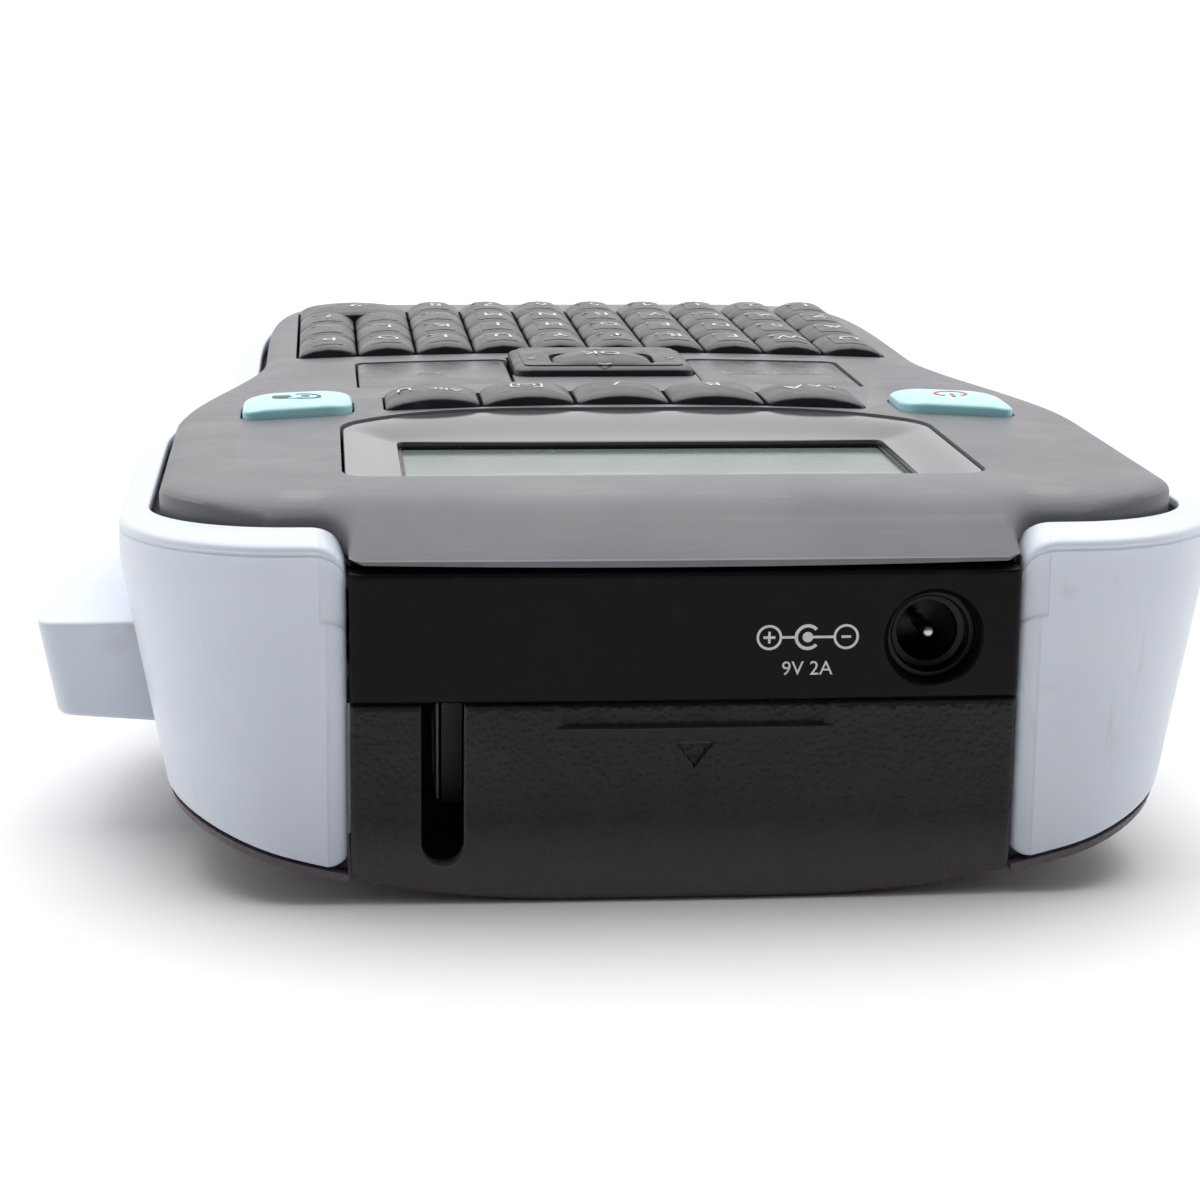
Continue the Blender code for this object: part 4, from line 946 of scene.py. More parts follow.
# flat printed marks, drawn in millimetres, then laid on a surface
class MarkSheet:
    def __init__(self):
        self.bm = bmesh.new()

    def patch(self, points):
        self.bm.faces.new([self.bm.verts.new((x, y, 0)) for x, y in points])

    def stroke(self, points, width, closed=False):
        count = len(points)
        pairs = []
        for i in range(count):
            before = points[i - 1] if closed or i else points[0]
            after = points[(i + 1) % count] if closed or i < count - 1 else points[-1]
            along = Vector((after[0] - before[0], after[1] - before[1])).normalized()
            across = Vector((-along.y, along.x)) * width / 2
            here = Vector(points[i])
            pairs.append((here + across, here - across))
        last = count if closed else count - 1
        for i in range(last):
            first, second = pairs[i], pairs[(i + 1) % count]
            self.patch([first[0], second[0], second[1], first[1]])

    def ring(self, centre, radius, width, start=0.0, turn=360.0, steps=36):
        count = steps if turn >= 360 else steps + 1
        angles = [math.radians(start + turn * i / steps) for i in range(count)]
        points = [(centre[0] + radius * math.cos(a), centre[1] + radius * math.sin(a)) for a in angles]
        self.stroke(points, width, turn >= 360)

    def disc(self, centre, radius, steps=28):
        angles = [2 * math.pi * i / steps for i in range(steps)]
        self.patch([(centre[0] + radius * math.cos(a), centre[1] + radius * math.sin(a))
                    for a in angles])

    def frame(self, low, high, width):
        corners = [low, (high[0], low[1]), high, (low[0], high[1])]
        self.stroke(roundOff(corners, 0.4, 3), width, True)

    def text(self, words, centre, height, lean=0.0):
        curve = bpy.data.curves.new("words", "FONT")
        curve.body = words
        curve.size = height * 1.4
        curve.shear = lean
        curve.align_x = "CENTER"
        curve.resolution_u = 3
        holder = bpy.data.objects.new("words", curve)
        bpy.context.scene.collection.objects.link(holder)
        bpy.context.view_layer.update()
        mesh = bpy.data.meshes.new_from_object(holder)
        bpy.data.objects.remove(holder)
        mesh.transform(Matrix.Translation((centre[0], centre[1] - height / 2, 0)))
        self.bm.from_mesh(mesh)
        bpy.data.meshes.remove(mesh)

    # given a thickness and laid where place(x, y, up) says, in metres
    def lay(self, name, thick, place):
        bmesh.ops.remove_doubles(self.bm, verts=self.bm.verts, dist=0.001)
        bmesh.ops.triangulate(self.bm, faces=self.bm.faces)
        made = bmesh.ops.extrude_face_region(self.bm, geom=self.bm.faces[:])
        top = [item for item in made["geom"] if isinstance(item, bmesh.types.BMVert)]
        bmesh.ops.translate(self.bm, verts=top, vec=(0, 0, thick))
        for vertex in self.bm.verts:
            vertex.co = Vector(place(*[value * mm for value in vertex.co]))
        return linkMesh(name, self.bm)


# polarity sign beside the inlet, with its voltage and current
def makePolarity():
    sheet = MarkSheet()
    height, line = 28.4, 0.26
    plus, middle, minus = (8.4, height), (12.4, height), (16.4, height)
    for centre in (plus, minus):
        sheet.ring(centre, 1.2, line)
    sheet.ring(middle, 1.2, line + 0.08, 42, 276)
    sheet.disc(middle, 0.55)
    sheet.stroke([(plus[0] - 0.62, height), (plus[0] + 0.62, height)], line)
    sheet.stroke([(plus[0], height - 0.62), (plus[0], height + 0.62)], line)
    sheet.stroke([(minus[0] - 0.5, height), (minus[0] + 0.5, height)], line)
    sheet.stroke([(plus[0] + 1.25, height), (middle[0] - 1.25, height)], line)
    sheet.stroke([(middle[0] + 0.4, height), (minus[0] - 1.25, height)], line)
    sheet.text("9V 2A", (middle[0], 25.15), 1.5)
    return sheet.lay("polaritySign", 0.04, lambda x, z, up: (-x, wallY(-x, z) + up - 0.01 * mm, z))


dress(makePolarity(), "housing", "black_plastic", "legendWhite")


# display

# one closed line round the bezel: share 0 is its outer edge, 1 the edge of the opening
def bezelLine(share, z):
    low, high = windowBox
    half = high.x + (window["glassHalf"] - high.x) * share
    near = high.y + (window["glassNear"] - high.y) * share
    far = low.y + window["farBow"] + (window["glassFar"] - low.y - window["farBow"]) * share
    bow = window["farBow"] * (1 - share)
    radius = (3.4 - 2.2 * share) * mm
    corners = [(-half, near), (half, near), (half, far), (-half, far)]
    points = []
    for i, (x, y) in enumerate(corners):
        before, after = corners[i - 1], corners[(i + 1) % 4]
        start = Vector((x, y)) + (Vector(before[:2]) - Vector((x, y))).normalized() * radius
        end = Vector((x, y)) + (Vector(after[:2]) - Vector((x, y))).normalized() * radius
        for k in range(9):
            t = k / 8
            points.append(start * (1 - t) ** 2 + Vector((x, y)) * 2 * t * (1 - t) + end * t ** 2)
        nextStart = Vector(after[:2]) + (Vector((x, y)) - Vector(after[:2])).normalized() * radius
        for k in range(1, 16):
            points.append(end.lerp(nextStart, k / 16))
    loop = []
    for point in points:
        away = 1 - min(abs(point.x / half), 1.0) ** 4
        fade = min(max(((near + far) / 2 - point.y) / ((near - far) / 2), 0.0), 1.0) ** 4
        loop.append((point.x, point.y - bow * away * fade, z))
    return loop


def makeWindow():
    low, high = windowBox
    top, dish = high.z, window["dish"]
    loops = [bezelLine(0.0, low.z), bezelLine(0.0, top - 0.3 * mm), bezelLine(0.006, top - 0.1 * mm),
             bezelLine(0.02, top)]
    loops.append(bezelLine(0.09, top - 0.02 * mm))
    for i in range(1, 10):
        t = i / 9
        loops.append(bezelLine(0.09 + 0.9 * t, top - dish * (0.25 * t + 0.75 * t * t * (3 - 2 * t))))
    loops += [bezelLine(0.995, top - dish - 0.05 * mm), bezelLine(1.0, top - dish - 0.15 * mm),
              bezelLine(1.0, low.z)]
    loops.append(bezelLine(0.5, low.z))
    return loftLoops("displayBezel", loops, closed=True)


dress(makeWindow(), "housing", "window_grey", "windowGloss", "window_frame", angle=25)


# dark tray round the screen, below the bezel
def makeWellWall():
    low, high = windowBox
    half, near, far = window["glassHalf"], window["glassNear"], window["glassFar"]
    outer = roundOff([(-half - 1.6 * mm, near + 1.2 * mm), (half + 1.6 * mm, near + 1.2 * mm),
                      (half + 1.6 * mm, far - 1.6 * mm), (-half - 1.6 * mm, far - 1.6 * mm)], 1.2 * mm)
    inner = roundOff([(-half + 0.5 * mm, near - 0.4 * mm), (half - 0.5 * mm, near - 0.4 * mm),
                      (half - 0.5 * mm, far + 0.7 * mm), (-half + 0.5 * mm, far + 0.7 * mm)], 0.8 * mm)
    top = low.z - 0.05 * mm
    bottom = top - window["screenDepth"] + 1.35 * mm
    wall = prism("displayWell", outer, bottom, top)
    return carve(wall, prism("wellHole", inner, bottom - 1 * mm, top + 1 * mm))


dress(makeWellWall(), "housing", "black_plastic", "jackBlack")

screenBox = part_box("lcd_panel")


def makeScreen():
    low, high = screenBox
    plan = roundOff([(low.x, high.y), (high.x, high.y), (high.x, low.y), (low.x, low.y)], 0.6 * mm)
    loops = [[(x, y, z) for x, y in drawIn(plan, inset * mm)]
             for inset, z in ((0, low.z), (0, high.z - 0.2 * mm), (0.2, high.z))]
    return loftLoops("displayScreen", loops)


# liquid crystal glass: grey-green, with a painted reflection, a paler wavy band along its near edge
def makeScreenFinish():
    material = bpy.data.materials.new("screenGlass")
    material.use_nodes = True
    nodes, links = material.node_tree.nodes, material.node_tree.links
    shader = nodes["Principled BSDF"]
    place = nodes.new("ShaderNodeTexCoord")
    split = nodes.new("ShaderNodeSeparateXYZ")
    links.new(place.outputs["Object"], split.inputs["Vector"])
    reflectionRipple = nodes.new("ShaderNodeTexNoise")
    reflectionRipple.noise_dimensions = "1D"
    reflectionRipple.inputs["Scale"].default_value = 110
    reflectionRipple.inputs["Detail"].default_value = 1
    links.new(split.outputs["X"], reflectionRipple.inputs["W"])
    shift = nodes.new("ShaderNodeMath")
    shift.operation = "MULTIPLY_ADD"
    shift.inputs[1].default_value = 7 * mm
    links.new(reflectionRipple.outputs["Fac"], shift.inputs[0])
    links.new(split.outputs["Y"], shift.inputs[2])
    span = nodes.new("ShaderNodeMapRange")
    span.inputs["From Min"].default_value = window["glassFar"] + 3 * mm
    span.inputs["From Max"].default_value = window["glassNear"] + 3 * mm
    links.new(shift.outputs["Value"], span.inputs["Value"])
    # painted reflection: darker towards the far edge, paler in a wavy band along the near edge
    tone = nodes.new("ShaderNodeValToRGB")
    tone.color_ramp.elements[0].color = (0.13, 0.17, 0.155, 1)
    tone.color_ramp.elements[1].color = (0.27, 0.31, 0.295, 1)
    for at, colour in ((0.35, (0.15, 0.195, 0.18, 1)), (0.60, (0.17, 0.22, 0.2, 1)),
                       (0.63, (0.24, 0.28, 0.265, 1))):
        tone.color_ramp.elements.new(at).color = colour
    links.new(span.outputs["Result"], tone.inputs["Fac"])
    dust = nodes.new("ShaderNodeTexNoise")
    dust.inputs["Scale"].default_value = 900
    dust.inputs["Detail"].default_value = 5
    links.new(place.outputs["Object"], dust.inputs["Vector"])
    speck = nodes.new("ShaderNodeValToRGB")
    speck.color_ramp.elements[0].position = 0.68
    speck.color_ramp.elements[1].position = 0.76
    speck.color_ramp.elements[0].color = (0, 0, 0, 1)
    speck.color_ramp.elements[1].color = (0.5, 0.5, 0.5, 1)
    links.new(dust.outputs["Fac"], speck.inputs["Fac"])
    blend = nodes.new("ShaderNodeMix")
    blend.data_type = "RGBA"
    blend.inputs["B"].default_value = (0.55, 0.58, 0.55, 1)
    links.new(speck.outputs["Color"], blend.inputs["Factor"])
    links.new(tone.outputs["Color"], blend.inputs["A"])
    links.new(blend.outputs["Result"], shader.inputs["Base Color"])
    gloss = nodes.new("ShaderNodeMapRange")
    gloss.inputs["To Min"].default_value = 0.08
    gloss.inputs["To Max"].default_value = 0.2
    links.new(dust.outputs["Fac"], gloss.inputs["Value"])
    links.new(gloss.outputs["Result"], shader.inputs["Roughness"])
    bump = nodes.new("ShaderNodeBump")
    bump.inputs["Strength"].default_value = 0.3
    bump.inputs["Distance"].default_value = 0.003 * mm
    links.new(dust.outputs["Fac"], bump.inputs["Height"])
    links.new(bump.outputs["Normal"], shader.inputs["Normal"])
    shader.inputs["Specular IOR Level"].default_value = 0.3
    return material


materials["screenGlass"] = makeScreenFinish()
dress(makeScreen(), "housing", "lcd_grey", "screenGlass", "lcd_panel")
print("display made")


# keys

def middleOf(plan):
    return sum((Vector(point) for point in plan), Vector((0, 0))) / len(plan)


def halfSize(plan):
    xs, ys = [x for x, y in plan], [y for x, y in plan]
    return (max(xs) - min(xs)) / 2, (max(ys) - min(ys)) / 2


# an outline made smaller about its middle, so that its corners never fold over
def shrink(plan, distance):
    middle, (halfX, halfY) = middleOf(plan), halfSize(plan)
    return [(middle.x + (x - middle.x) * (1 - distance / halfX),
             middle.y + (y - middle.y) * (1 - distance / halfY))
            for x, y in plan]


# how far a cap's top has fallen away from its middle
def domeFall(x, y, size, dome):
    return dome * (x / size[0]) ** 2 + 0.3 * dome * (y / size[1]) ** 2


# a keycap: straight sides, a rolled edge and a pillow-shaped top
def makeCap(name, plan, foot, edge, crown, dome, roll=2.2):
    profile = ((0, -0.30), (0.03, -0.10), (0.11, 0.08), (0.24, 0.25), (0.45, 0.43), (0.75, 0.60),
               (1.2, 0.76), (1.7, 0.88), (roll, 0.95))
    middle, size = middleOf(plan), halfSize(plan)
    loops = [[(x, y, foot) for x, y in plan]]
    rings = [(shrink(plan, inset * mm), rise) for inset, rise in profile]
    reach = min(size)
    for share, rise in ((0.45, 0.97), (0.65, 0.985), (0.85, 0.995), (0.97, 1.0)):
        rings.append((shrink(plan, reach * share), rise))
    for ring, rise in rings:
        loops.append([(x, y, edge + crown * rise - domeFall(x - middle.x, y - middle.y, size, dome))
                      for x, y in ring])
    return loftLoops(name, loops)


capEdge = faceTop + keypad["rise"]
capCrown = keypad["crown"]
capDome = keypad["dome"]


def functionPlan(index):
    half = keypad["functionHalf"]
    pitch = 2 * half / 5
    right = half - pitch * index - (0.2 * mm if index else 0)
    left = half - pitch * (index + 1) + (0.2 * mm if index < 4 else 0)
    plan = bandPlan(left, right, functionEdge, lambda x: functionEdge(x) - keypad["functionDepth"], 6)
    return roundCorners(plan, 1.1 * mm, 4)


# lays a mark sheet on a cap, upright for someone holding the label maker
def onKey(plan, top, dome=0.0):
    centre, size = middleOf(plan), halfSize(plan)
    return lambda x, y, up: (centre.x + x, centre.y + y, top + up - domeFall(x, y, size, dome))


def functionMarks(index):
    sheet = MarkSheet()
    if index == 0:
        sheet.text("ABC", (-1.4, 0.9), 1.7)
        sheet.stroke([(-3.6, -0.5), (0.9, -0.5)], 0.22)
        sheet.text("U", (3.4, 0.3), 2.1)
        sheet.stroke([(2.5, -1.2), (4.3, -1.2)], 0.22)
    elif index == 1:
        sheet.frame((-1.9, -1.3), (1.9, 1.5), 0.28)
        sheet.frame((-1.0, -0.5), (1.0, 0.7), 0.28)
    elif index == 2:
        sheet.text("I", (0, 0.1), 2.5, 0.35)
    elif index == 3:
        sheet.text("B", (0, 0.1), 2.5)
    else:
        for x, height in ((-2.9, 1.5), (-0.7, 2.0), (2.0, 2.7)):
            sheet.text("A", (x, height / 2 - 1.3), height)
    return sheet


for index in range(5):
    node = f"function_key_{index + 1}"
    plan = functionPlan(index)
    cap = makeCap(f"functionKey{index + 1}", plan, keypad["foot"], capEdge, capCrown, capDome)
    dress(cap, node, "key_plastic", "keyRubber", node, angle=50)
    sign = functionMarks(index).lay(f"functionSign{index + 1}", signThick,
                                    onKey(plan, capEdge + capCrown * 0.97, capDome))
    dress(sign, node, "key_plastic", "legendWhite")

for hand, side, node in ((1, "print", "print_button"), (-1, "power", "power_button")):
    plan = colourPlan(hand)
    cap = makeCap(side + "Key", plan, keypad["foot"], capEdge, capCrown, 0.35 * mm, 2.6)
    dress(cap, node, "turquoise_plastic", "turquoiseGloss", node, angle=50)
    sheet = MarkSheet()
    if side == "power":
        sheet.ring((0, 0), 1.9, 0.42, 122, 296)
        sheet.stroke([(0, 0.2), (0, 2.5)], 0.42)
        finish = "legendRed"
    else:
        # a label coming off its roll
        sheet.ring((-0.9, 0.2), 1.75, 0.4, 60, 250)
        sheet.disc((-0.9, 0.2), 0.55)
        sheet.stroke([(-0.9, 1.95), (2.0, 1.95), (2.9, 1.2), (2.9, -0.2), (1.1, -0.2), (0.9, 0.9)], 0.4)
        sheet.patch([(1.3, -0.1), (2.7, -0.1), (2.7, 1.1), (1.9, 1.7), (1.1, 1.5)])
        finish = "legendDark"
    sign = sheet.lay(side + "Sign", signThick, onKey(plan, capEdge + capCrown * 0.975, 0.35 * mm))
    dress(sign, node, "turquoise_plastic", finish)

for hand, side in ((1, "Right"), (-1, "Left")):
    node = "soft_key_" + side.lower()
    plan = softPlan(hand)
    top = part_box(node)[1].z
    loops = [[(x, y, z) for x, y in drawIn(plan, inset * mm)] for inset, z in (
        (0, keypad["foot"]), (0, top - 0.3 * mm), (0.08, top - 0.12 * mm),
        (0.25, top - 0.03 * mm), (0.5, top))]
    dress(loftLoops("menuKey" + side, loops), node, "key_plastic", "keySatin", node)
    sheet = MarkSheet()
    if hand > 0:
        sheet.stroke([(-1.6, 1.0), (1.4, 1.0), (2.2, 0.2), (1.4, -0.6), (-0.4, -0.6)], 0.22)
        sheet.patch([(-0.3, -1.3), (-0.3, 0.1), (-1.4, -0.6)])
    else:
        sheet.frame((-6.2, -2.0), (-0.6, 1.6), 0.2)
        sheet.frame((0.6, -2.0), (6.2, 1.6), 0.2)
        for x in (-3.4, 3.4):
            sheet.stroke([(x - 1.8, 0.3), (x + 1.8, 0.3)], 0.22)
            sheet.stroke([(x - 1.8, -0.6), (x + 0.8, -0.6)], 0.22)
    sign = sheet.lay("menuSign" + side, 0.03, onKey(plan, top - 0.01 * mm))
    dress(sign, node, "key_plastic", "legendGrey")


# the ring of four arrows, with the confirm key in the middle of its near edge
def makeNav():
    plan = navPlan()
    cap = makeCap("arrowPlate", plan, keypad["foot"], capEdge - 0.2 * mm, capCrown, 0.25 * mm, 1.2)
    low, high = okBox
    gap = 0.3 * mm
    hole = roundOff([(low.x - gap, high.y + gap), (high.x + gap, high.y + gap),
                     (high.x + gap, low.y - gap), (low.x - gap, low.y - gap)], 2.4 * mm, 8)
    carve(cap, prism("okHole", hole, 0.0, 0.08))
    return soften(cap, 0.14 * mm, 2, 60)


dress(makeNav(), "nav_plate", "key_plastic", "keyRubber", "nav_plate", angle=40)
okPlan = roundOff([(okBox[0].x, okBox[1].y), (okBox[1].x, okBox[1].y),
                   (okBox[1].x, okBox[0].y), (okBox[0].x, okBox[0].y)], 2.4 * mm, 8)
okEdge = okBox[1].z - 0.6 * mm
okCap = makeCap("confirmKey", okPlan, keypad["foot"], okEdge, 0.5 * mm, 0.7 * mm, 1.9)
dress(okCap, "ok_key", "key_plastic", "keyRubber", "ok_key", angle=50)
okSheet = MarkSheet()
okSheet.text("OK", (0, 0), 2.6)
okSign = okSheet.lay("confirmSign", signThick, onKey(okPlan, okEdge + 0.48 * mm, 0.7 * mm))
dress(okSign, "ok_key", "key_plastic", "legendWhite")

arrows = MarkSheet()
for x, y, turn in ((0, -6.0, 270), (0, 9.1, 90), (-9.3, 2.6, 180), (9.3, 2.6, 0)):
    angle = math.radians(turn)
    tip = [(-0.55, 0.85), (0.45, 0), (-0.55, -0.85)]
    arrows.stroke([(x + a * math.cos(angle) - b * math.sin(angle),
                    y + a * math.sin(angle) + b * math.cos(angle)) for a, b in tip], 0.28)
arrowSign = arrows.lay("arrowSigns", signThick,
                       onKey(navPlan(), capEdge - 0.2 * mm + capCrown * 0.95, 0.25 * mm))
dress(arrowSign, "nav_plate", "key_plastic", "legendWhite")
print("function keys made")

letters = {
    "rows": ("QWERTYUIOP", "ASDFGHJKL:", "ZXCVBNM,.?", "123456789"),
    "height": 2.9,
    "small": 1.1,
    "gap": 0.24 * mm,
    "columns": 10,
}


# each letter key's plan, with the words that stand on it
def letterKeys():
    pitch = 2 * keypad["letterHalf"] / letters["columns"]
    for row, words in enumerate(letters["rows"]):
        widths = [2 if row == 3 and i == 0 else 1 for i in range(len(words))]
        right = keypad["letterHalf"]
        for width, word in zip(widths, reversed(words)):
            left = right - width * pitch
            half = letters["gap"] / 2
            near, far = letterEdge(row), letterEdge(row + 1)
            plan = bandPlan(left + half, right - half,
                            lambda x: near(x) - half, lambda x: far(x) + half, 4)
            yield roundCorners(plan, 1.3 * mm, 4), word
            right = left


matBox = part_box("keymat")
sheetTop = faceTop - 5 * mm
keyMat = prism("letterMat", [(matBox[0].x, matBox[0].y), (matBox[1].x, matBox[0].y),
                             (matBox[1].x, matBox[1].y), (matBox[0].x, matBox[1].y)],
               sheetTop - 1 * mm, sheetTop)
joined = bmesh.new()
joined.from_mesh(keyMat.data)
bpy.data.objects.remove(keyMat)
signs = bmesh.new()
marked = []
for plan, word in letterKeys():
    cap = makeCap("cap", plan, sheetTop - 0.5 * mm, capEdge, capCrown, capDome)
    joined.from_mesh(cap.data)
    bpy.data.objects.remove(cap)
    sheet = MarkSheet()
    sheet.text(word, (-0.3, 0.5), letters["height"])
    sheet.text("+-=/*#()&!"[len(marked) % 10], (2.0, -2.2), letters["small"])
    marked.append(word)
    sign = sheet.lay("sign", signThick, onKey(plan, capEdge + capCrown * 0.97, capDome))
    signs.from_mesh(sign.data)
    bpy.data.objects.remove(sign)
letterPad = linkMesh("letterKeys", joined)
dress(letterPad, "housing", "key_rubber", "keyRubber", "keymat", angle=50)
dress(linkMesh("letterSigns", signs), "housing", "key_rubber", "legendWhite")
print("letter keys made")


# cutter lever

lever = {
    "tipLean": 0.17,               # how far its outer edge comes in, per unit of depth
    "footRise": 1.9 * mm,          # how much higher its underside is at the tip
    "edge": 0.7 * mm,
}


def makeLever():
    low, high = leverBox
    tip, near = high.x, 75 * mm
    arm = pivot.x + 0.4 * mm
    root = pivot.x - 3.6 * mm
    # outer edge from the root at the far end, round the tip, to the near face
    corners = [(root, pivot.y - 2 * mm), (pivot.x, pivot.y - 4.2 * mm),
               (tip - 11.8 * mm, near - 43.5 * mm), (tip - 6.2 * mm, near - 40 * mm),
               (tip - 2.4 * mm, near - 31 * mm), (tip - 0.4 * mm, near - 17 * mm), (tip, near),
               (arm + 3.0 * mm, near), (arm + 3.0 * mm, high.y), (arm, high.y),
               (root, near - 12 * mm)]
    plan = roundOff(corners, 2.4 * mm, 6)
    height = high.z - low.z
    radius = lever["edge"]
    loops = []
    turns = [math.pi / 2 * i / 6 for i in range(7)]
    # (inset, height) from the underside up to the top face
    rows = [(radius * (1 - math.sin(a)), low.z + radius * (1 - math.cos(a))) for a in turns]
    rows += [(0.0, low.z + radius + (height - 2 * radius) * i / 8) for i in range(1, 8)]
    rows += [(radius * (1 - math.sin(a)), high.z - radius * (1 - math.cos(a))) for a in reversed(turns)]
    for inset, z in rows:
        loop = []
        for x, y in drawIn(plan, inset):
            out = (x - root) / (tip - root)
            shift = lever["tipLean"] * (high.z - z) * out
            rise = lever["footRise"] * out * (high.z - z) / height
            loop.append((x - shift, y, z + rise))
        loops.append(loop)
    return loftLoops("cutterLever", loops)


dress(makeLever(), "cutter_lever", "white_plastic", "whitePlastic", "cutter_lever", angle=40)
print("cutter lever made")


# back case and its covers

backCase = {
    "wall": 1.8 * mm,
    "floor": 2.0 * mm,
    "top": faceTop - 6.0 * mm,
    "coverGap": 0.5 * mm,
    "screwX": 18 * mm,
    "screwY": bodyPlan["farEnd"] + 18.7 * mm,
}
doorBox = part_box("battery_cover")


def bodyLoft(name, extra, low, top, steps=26):
    loops = []
    for i in range(steps + 1):
        z = low + (top - low) * (i / steps) ** 1.3
        side, near = leanAt(z)
        plan = wholePlan(side + extra, near + extra, side + extra)
        loops.append([(x, y, z) for x, y in plan])
    return loftLoops(name, loops)


def makeBackCase():
    inside = sideShell["wall"] + sideShell["gap"]
    case = bodyLoft("backCase", inside, -1 * mm, backCase["top"])
    carve(case, belowBelly("caseBelly", 0.0))
    edge = bodyLoft("caseEdge", 0.12 * mm, -1 * mm, 14 * mm, 18)
    under = belowBelly("edgeBelly", 0.0)
    above = belowBelly("edgeTop", sideShell["trim"])
    carve(edge, under)
    carve(edge, above, operation="INTERSECT")
    carve(case, edge, operation="UNION")
    hollow = bodyLoft("caseHollow", inside + backCase["wall"], 1 * mm, 0.05)
    carve(hollow, belowBelly("caseFloor", backCase["floor"]))
    carve(case, hollow)
    wide = bodyPlan["stripHalf"]
    gap = backCase["coverGap"]
    near = bodyPlan["nearEnd"]
    carve(case, block("exitMouth", (-wide, near - 7 * mm, -0.02), (wide, 0.12, 0.06)))
    carve(case, block("tapeMouth", (-wide, coverBox[0].y - gap, -0.02), (wide, 0.12, 12 * mm)))
    side = doorBox[1].x + gap
    carve(case, block("batteryMouth", (-side, doorBox[0].y - gap, -0.02),
                      (side, doorBox[1].y + gap, 9 * mm)))
    carve(case, block("leverMouth", (pivot.x - 5 * mm, pivot.y - 5 * mm, leverBox[0].z - 1.2 * mm),
                      (0.12, 79.5 * mm, leverBox[1].z + 1.2 * mm)))
    for hand in (1, -1):
        x = hand * backCase["screwX"]
        base = bellyHeight(x)
        steps = [(3.3 * mm, -0.01), (3.3 * mm, base - 0.1 * mm), (2.9 * mm, base + 0.3 * mm),
                 (2.9 * mm, base + 1.5 * mm), (1.6 * mm, base + 1.6 * mm), (1.6 * mm, 0.02)]
        carve(case, turned("screwWell", steps, (x, backCase["screwY"], 0), "Z", 40))
    return soften(case, 0.2 * mm, 2, 55)


dress(makeBackCase(), "housing", "black_plastic", "leatherBlack", "back_case", angle=34)
print("back case made")


# battery door: a strip of the back with a thumb scoop and grip ribs
def makeDoor():
    low, high = doorBox
    half = high.x
    loops = []
    r = 0.45 * mm
    rows = [(low.y, 0.8), (low.y + 0.12 * mm, 0.3), (low.y + 0.3 * mm, 0.08), (low.y + r, 0.0)]
    rows += [(low.y + 1 * mm + (high.y - low.y - 2 * mm) * i / 60, 0.0) for i in range(61)]
    rows += [(high.y - r, 0.0), (high.y - 0.3 * mm, 0.08), (high.y - 0.12 * mm, 0.3), (high.y, 0.8)]
    for y, up in rows:
        lower, upper = [], []
        for i in range(81):
            x = -half + 2 * half * i / 80
            rim = max((abs(x) - half + r) / r, 0.0)
            outside = bellyHeight(x) + up * r + 0.4 * mm * rim ** 2
            scoop = math.exp(-(x / (8 * mm)) ** 4 - ((y - high.y + 9 * mm) / (4.5 * mm)) ** 4)
            ribs = 0.5 - 0.5 * math.cos(2 * math.pi * (y - high.y) / (1.6 * mm))
            outside += scoop * (0.55 * mm - 0.3 * mm * ribs)
            lower.append((x, y, outside))
            upper.append((x, y, bellyHeight(x) + 1.8 * mm))
        loops.append(lower + upper[::-1])
    return loftLoops("batteryDoor", loops)


dress(makeDoor(), "battery_cover", "black_plastic", "leatherBlack", "battery_cover", angle=38)


# pan-head screws with a cross recess
def makeScrew(hand, node):
    low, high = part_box(node)
    x, y = (low.x + high.x) / 2, (low.y + high.y) / 2
    radius = (high.x - low.x) / 2
    top = low.z
    steps = [(0.05 * mm, top), (radius * 0.7, top + 0.05 * mm), (radius * 0.93, top + 0.25 * mm),
             (radius, top + 0.5 * mm), (radius, top + 0.9 * mm), (1.3 * mm, top + 0.92 * mm),
             (1.3 * mm, high.z - 1.5 * mm), (0.5 * mm, high.z)]
    screw = turned(f"caseScrew{hand}", steps, (x, y, 0), "Z", 40)
    for wide, long in ((0.36 * mm, 1.5 * mm), (1.5 * mm, 0.36 * mm)):
        carve(screw, block("cross", (x - wide, y - long, top - 1 * mm),
                           (x + wide, y + long, top + 0.55 * mm)))
    return screw


dress(makeScrew(1, "case_screw_1"), "housing", "steel", "steel", "case_screw_1")
dress(makeScrew(2, "case_screw_2"), "housing", "steel", "steel", "case_screw_2")
print("back made")


# inside: CAD nodes that keep their shape

insideFinish = {
    "main_board": "boardGreen", "battery_tray": "caseBlack", "chassis": "caseBlack", "motor": "steel",
    "print_head": "headCeramic", "head_bracket": "caseBlack", "cutter_anvil": "caseBlack",
    "lever_pivot_pin": "steel", "lever_spring": "steel", "tape_cassette": "cassetteGrey",
    "label_tape": "labelWhite", "blade_carrier": "caseBlack", "cutter_blade": "steel",
    "platen_gear": "gearNylon", "platen_roller": "rollerRubber", "idler_gear": "gearNylon",
    "motor_pinion": "gearNylon", "ribbon_spindle": "gearNylon", "ribbon_spool": "caseBlack",
    "label_spool": "labelWhite",
}
for node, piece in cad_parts.items():
    finish = insideFinish.get(node)
    if node.startswith("battery_") and node[8:].isdigit():
        finish = "cellWrap"
    elif node.startswith("contact_"):
        finish = "steel"
    if finish is None:
        continue
    for place in piece.material_slots:
        place.material = materials[finish]
    edges = piece.modifiers.new("edges", "BEVEL")
    edges.width = 0.15 * mm
    edges.segments = 2
    edges.limit_method = "ANGLE"
    edges.angle_limit = math.radians(40)
print("inside finished")

floorMesh = bpy.data.meshes.new("floor")
floorMesh.from_pydata([(-30, -30, 0), (30, -30, 0), (30, 30, 0), (-30, 30, 0)], [], [(0, 1, 2, 3)])
floor = bpy.data.objects.new("floor", floorMesh)
floor.location.z = cadBounds[0][2]
scene = bpy.context.scene
scene.collection.objects.link(floor)
floor.data.materials.append(materials["paleFloor"])

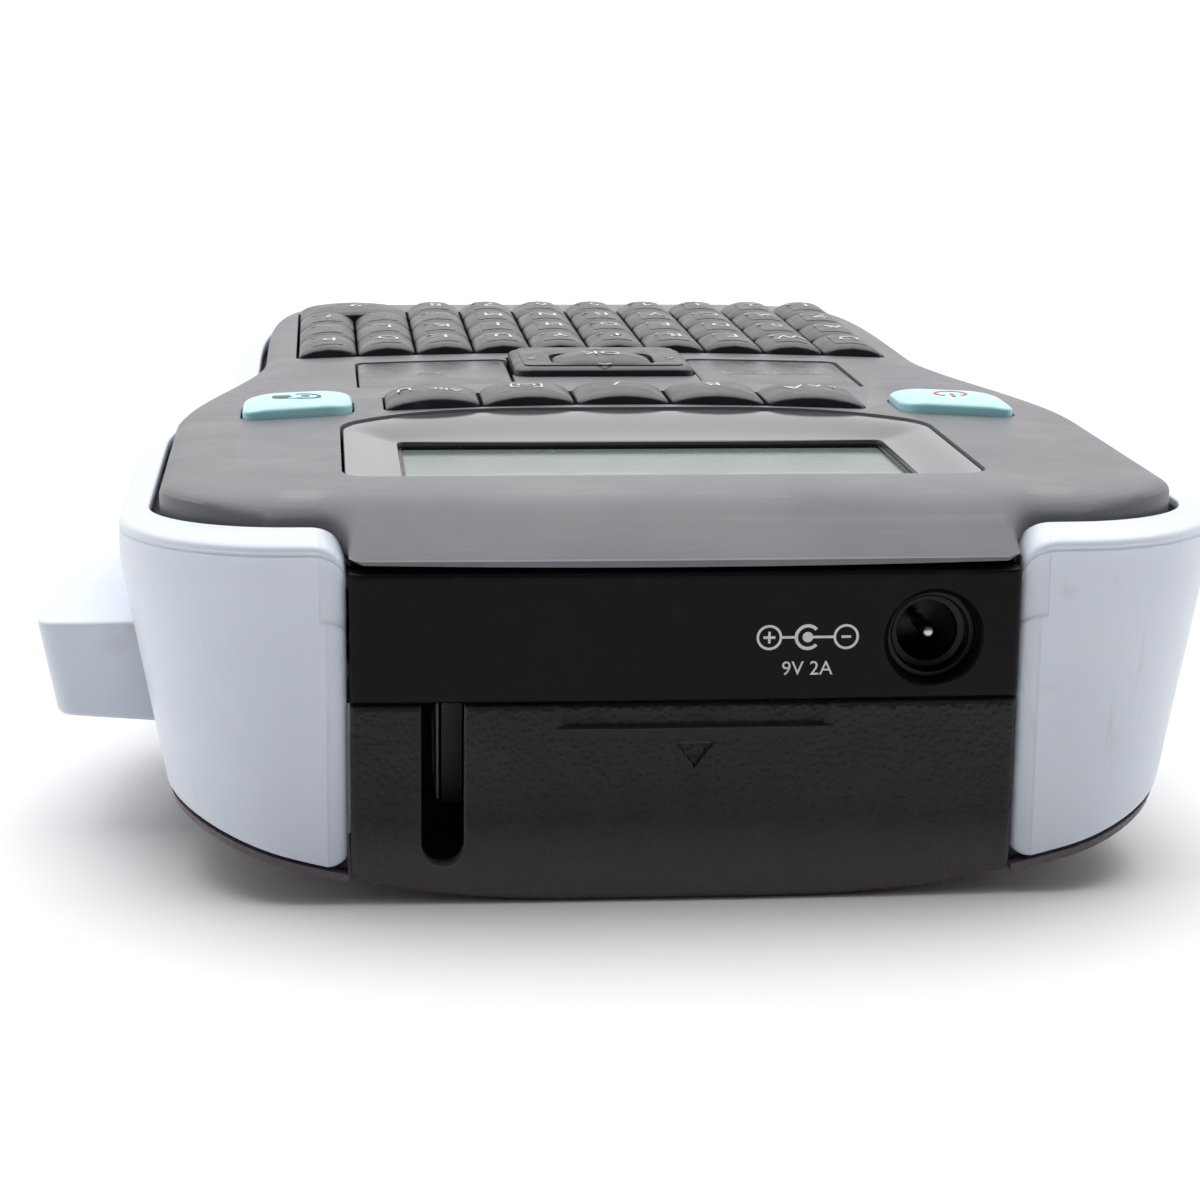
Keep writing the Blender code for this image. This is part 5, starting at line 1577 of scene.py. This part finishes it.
camera = bpy.data.cameras.new("camera")
cameraPlace = bpy.data.objects.new("camera", camera)
scene.collection.objects.link(cameraPlace)
camera.lens = 92.4
camera.sensor_width = 36
view = {"place": (0.03715, 0.409, 0.09848), "right": (-0.996, 0.0893, 0.0096),
        "up": (-0.0095, -0.2101, 0.9776)}
right, up = Vector(view["right"]).normalized(), Vector(view["up"]).normalized()
back = right.cross(up).normalized()
up = back.cross(right)
turn = Matrix((right, up, back)).transposed().to_4x4()
cameraPlace.matrix_world = Matrix.Translation(view["place"]) @ turn
scene.camera = cameraPlace


def softLight(name, place, aim, size, power, tint=(1, 1, 1)):
    lamp = bpy.data.lights.new(name, "AREA")
    lamp.shape = "RECTANGLE"
    lamp.size, lamp.size_y = size
    lamp.energy = power
    lamp.color = tint
    lampPlace = bpy.data.objects.new(name, lamp)
    scene.collection.objects.link(lampPlace)
    lampPlace.location = place
    lampPlace.rotation_euler = (Vector(aim) - Vector(place)).to_track_quat("-Z", "Y").to_euler()


softLight("overhead", (0, -0.12, 0.9), (0, 0, 0), (0.9, 0.7), 2.5)

# a very wide sun keeps the whole floor evenly white
sun = bpy.data.lights.new("sky", "SUN")
sun.energy = 1.7
sun.angle = math.radians(80)
sunPlace = bpy.data.objects.new("sky", sun)
scene.collection.objects.link(sunPlace)
sunPlace.rotation_euler = Vector((0, 0.4, -1)).to_track_quat("-Z", "Y").to_euler()

# the room is bright behind and above, and dim in front
world = bpy.data.worlds.new("studio")
scene.world = world
world.use_nodes = True
nodes, links = world.node_tree.nodes, world.node_tree.links
direction = nodes.new("ShaderNodeTexCoord")
split = nodes.new("ShaderNodeSeparateXYZ")
links.new(direction.outputs["Generated"], split.inputs["Vector"])
span = nodes.new("ShaderNodeMapRange")
span.inputs["From Min"].default_value = -0.35
span.inputs["From Max"].default_value = 0.75
links.new(split.outputs["Y"], span.inputs["Value"])
tone = nodes.new("ShaderNodeValToRGB")
tone.color_ramp.elements[0].color = (1.0, 1.0, 1.0, 1)
tone.color_ramp.elements[1].color = (0.07, 0.07, 0.075, 1)
links.new(span.outputs["Result"], tone.inputs["Fac"])
links.new(tone.outputs["Color"], nodes["Background"].inputs["Color"])
nodes["Background"].inputs["Strength"].default_value = 1.0
scene.view_settings.view_transform = "Standard"
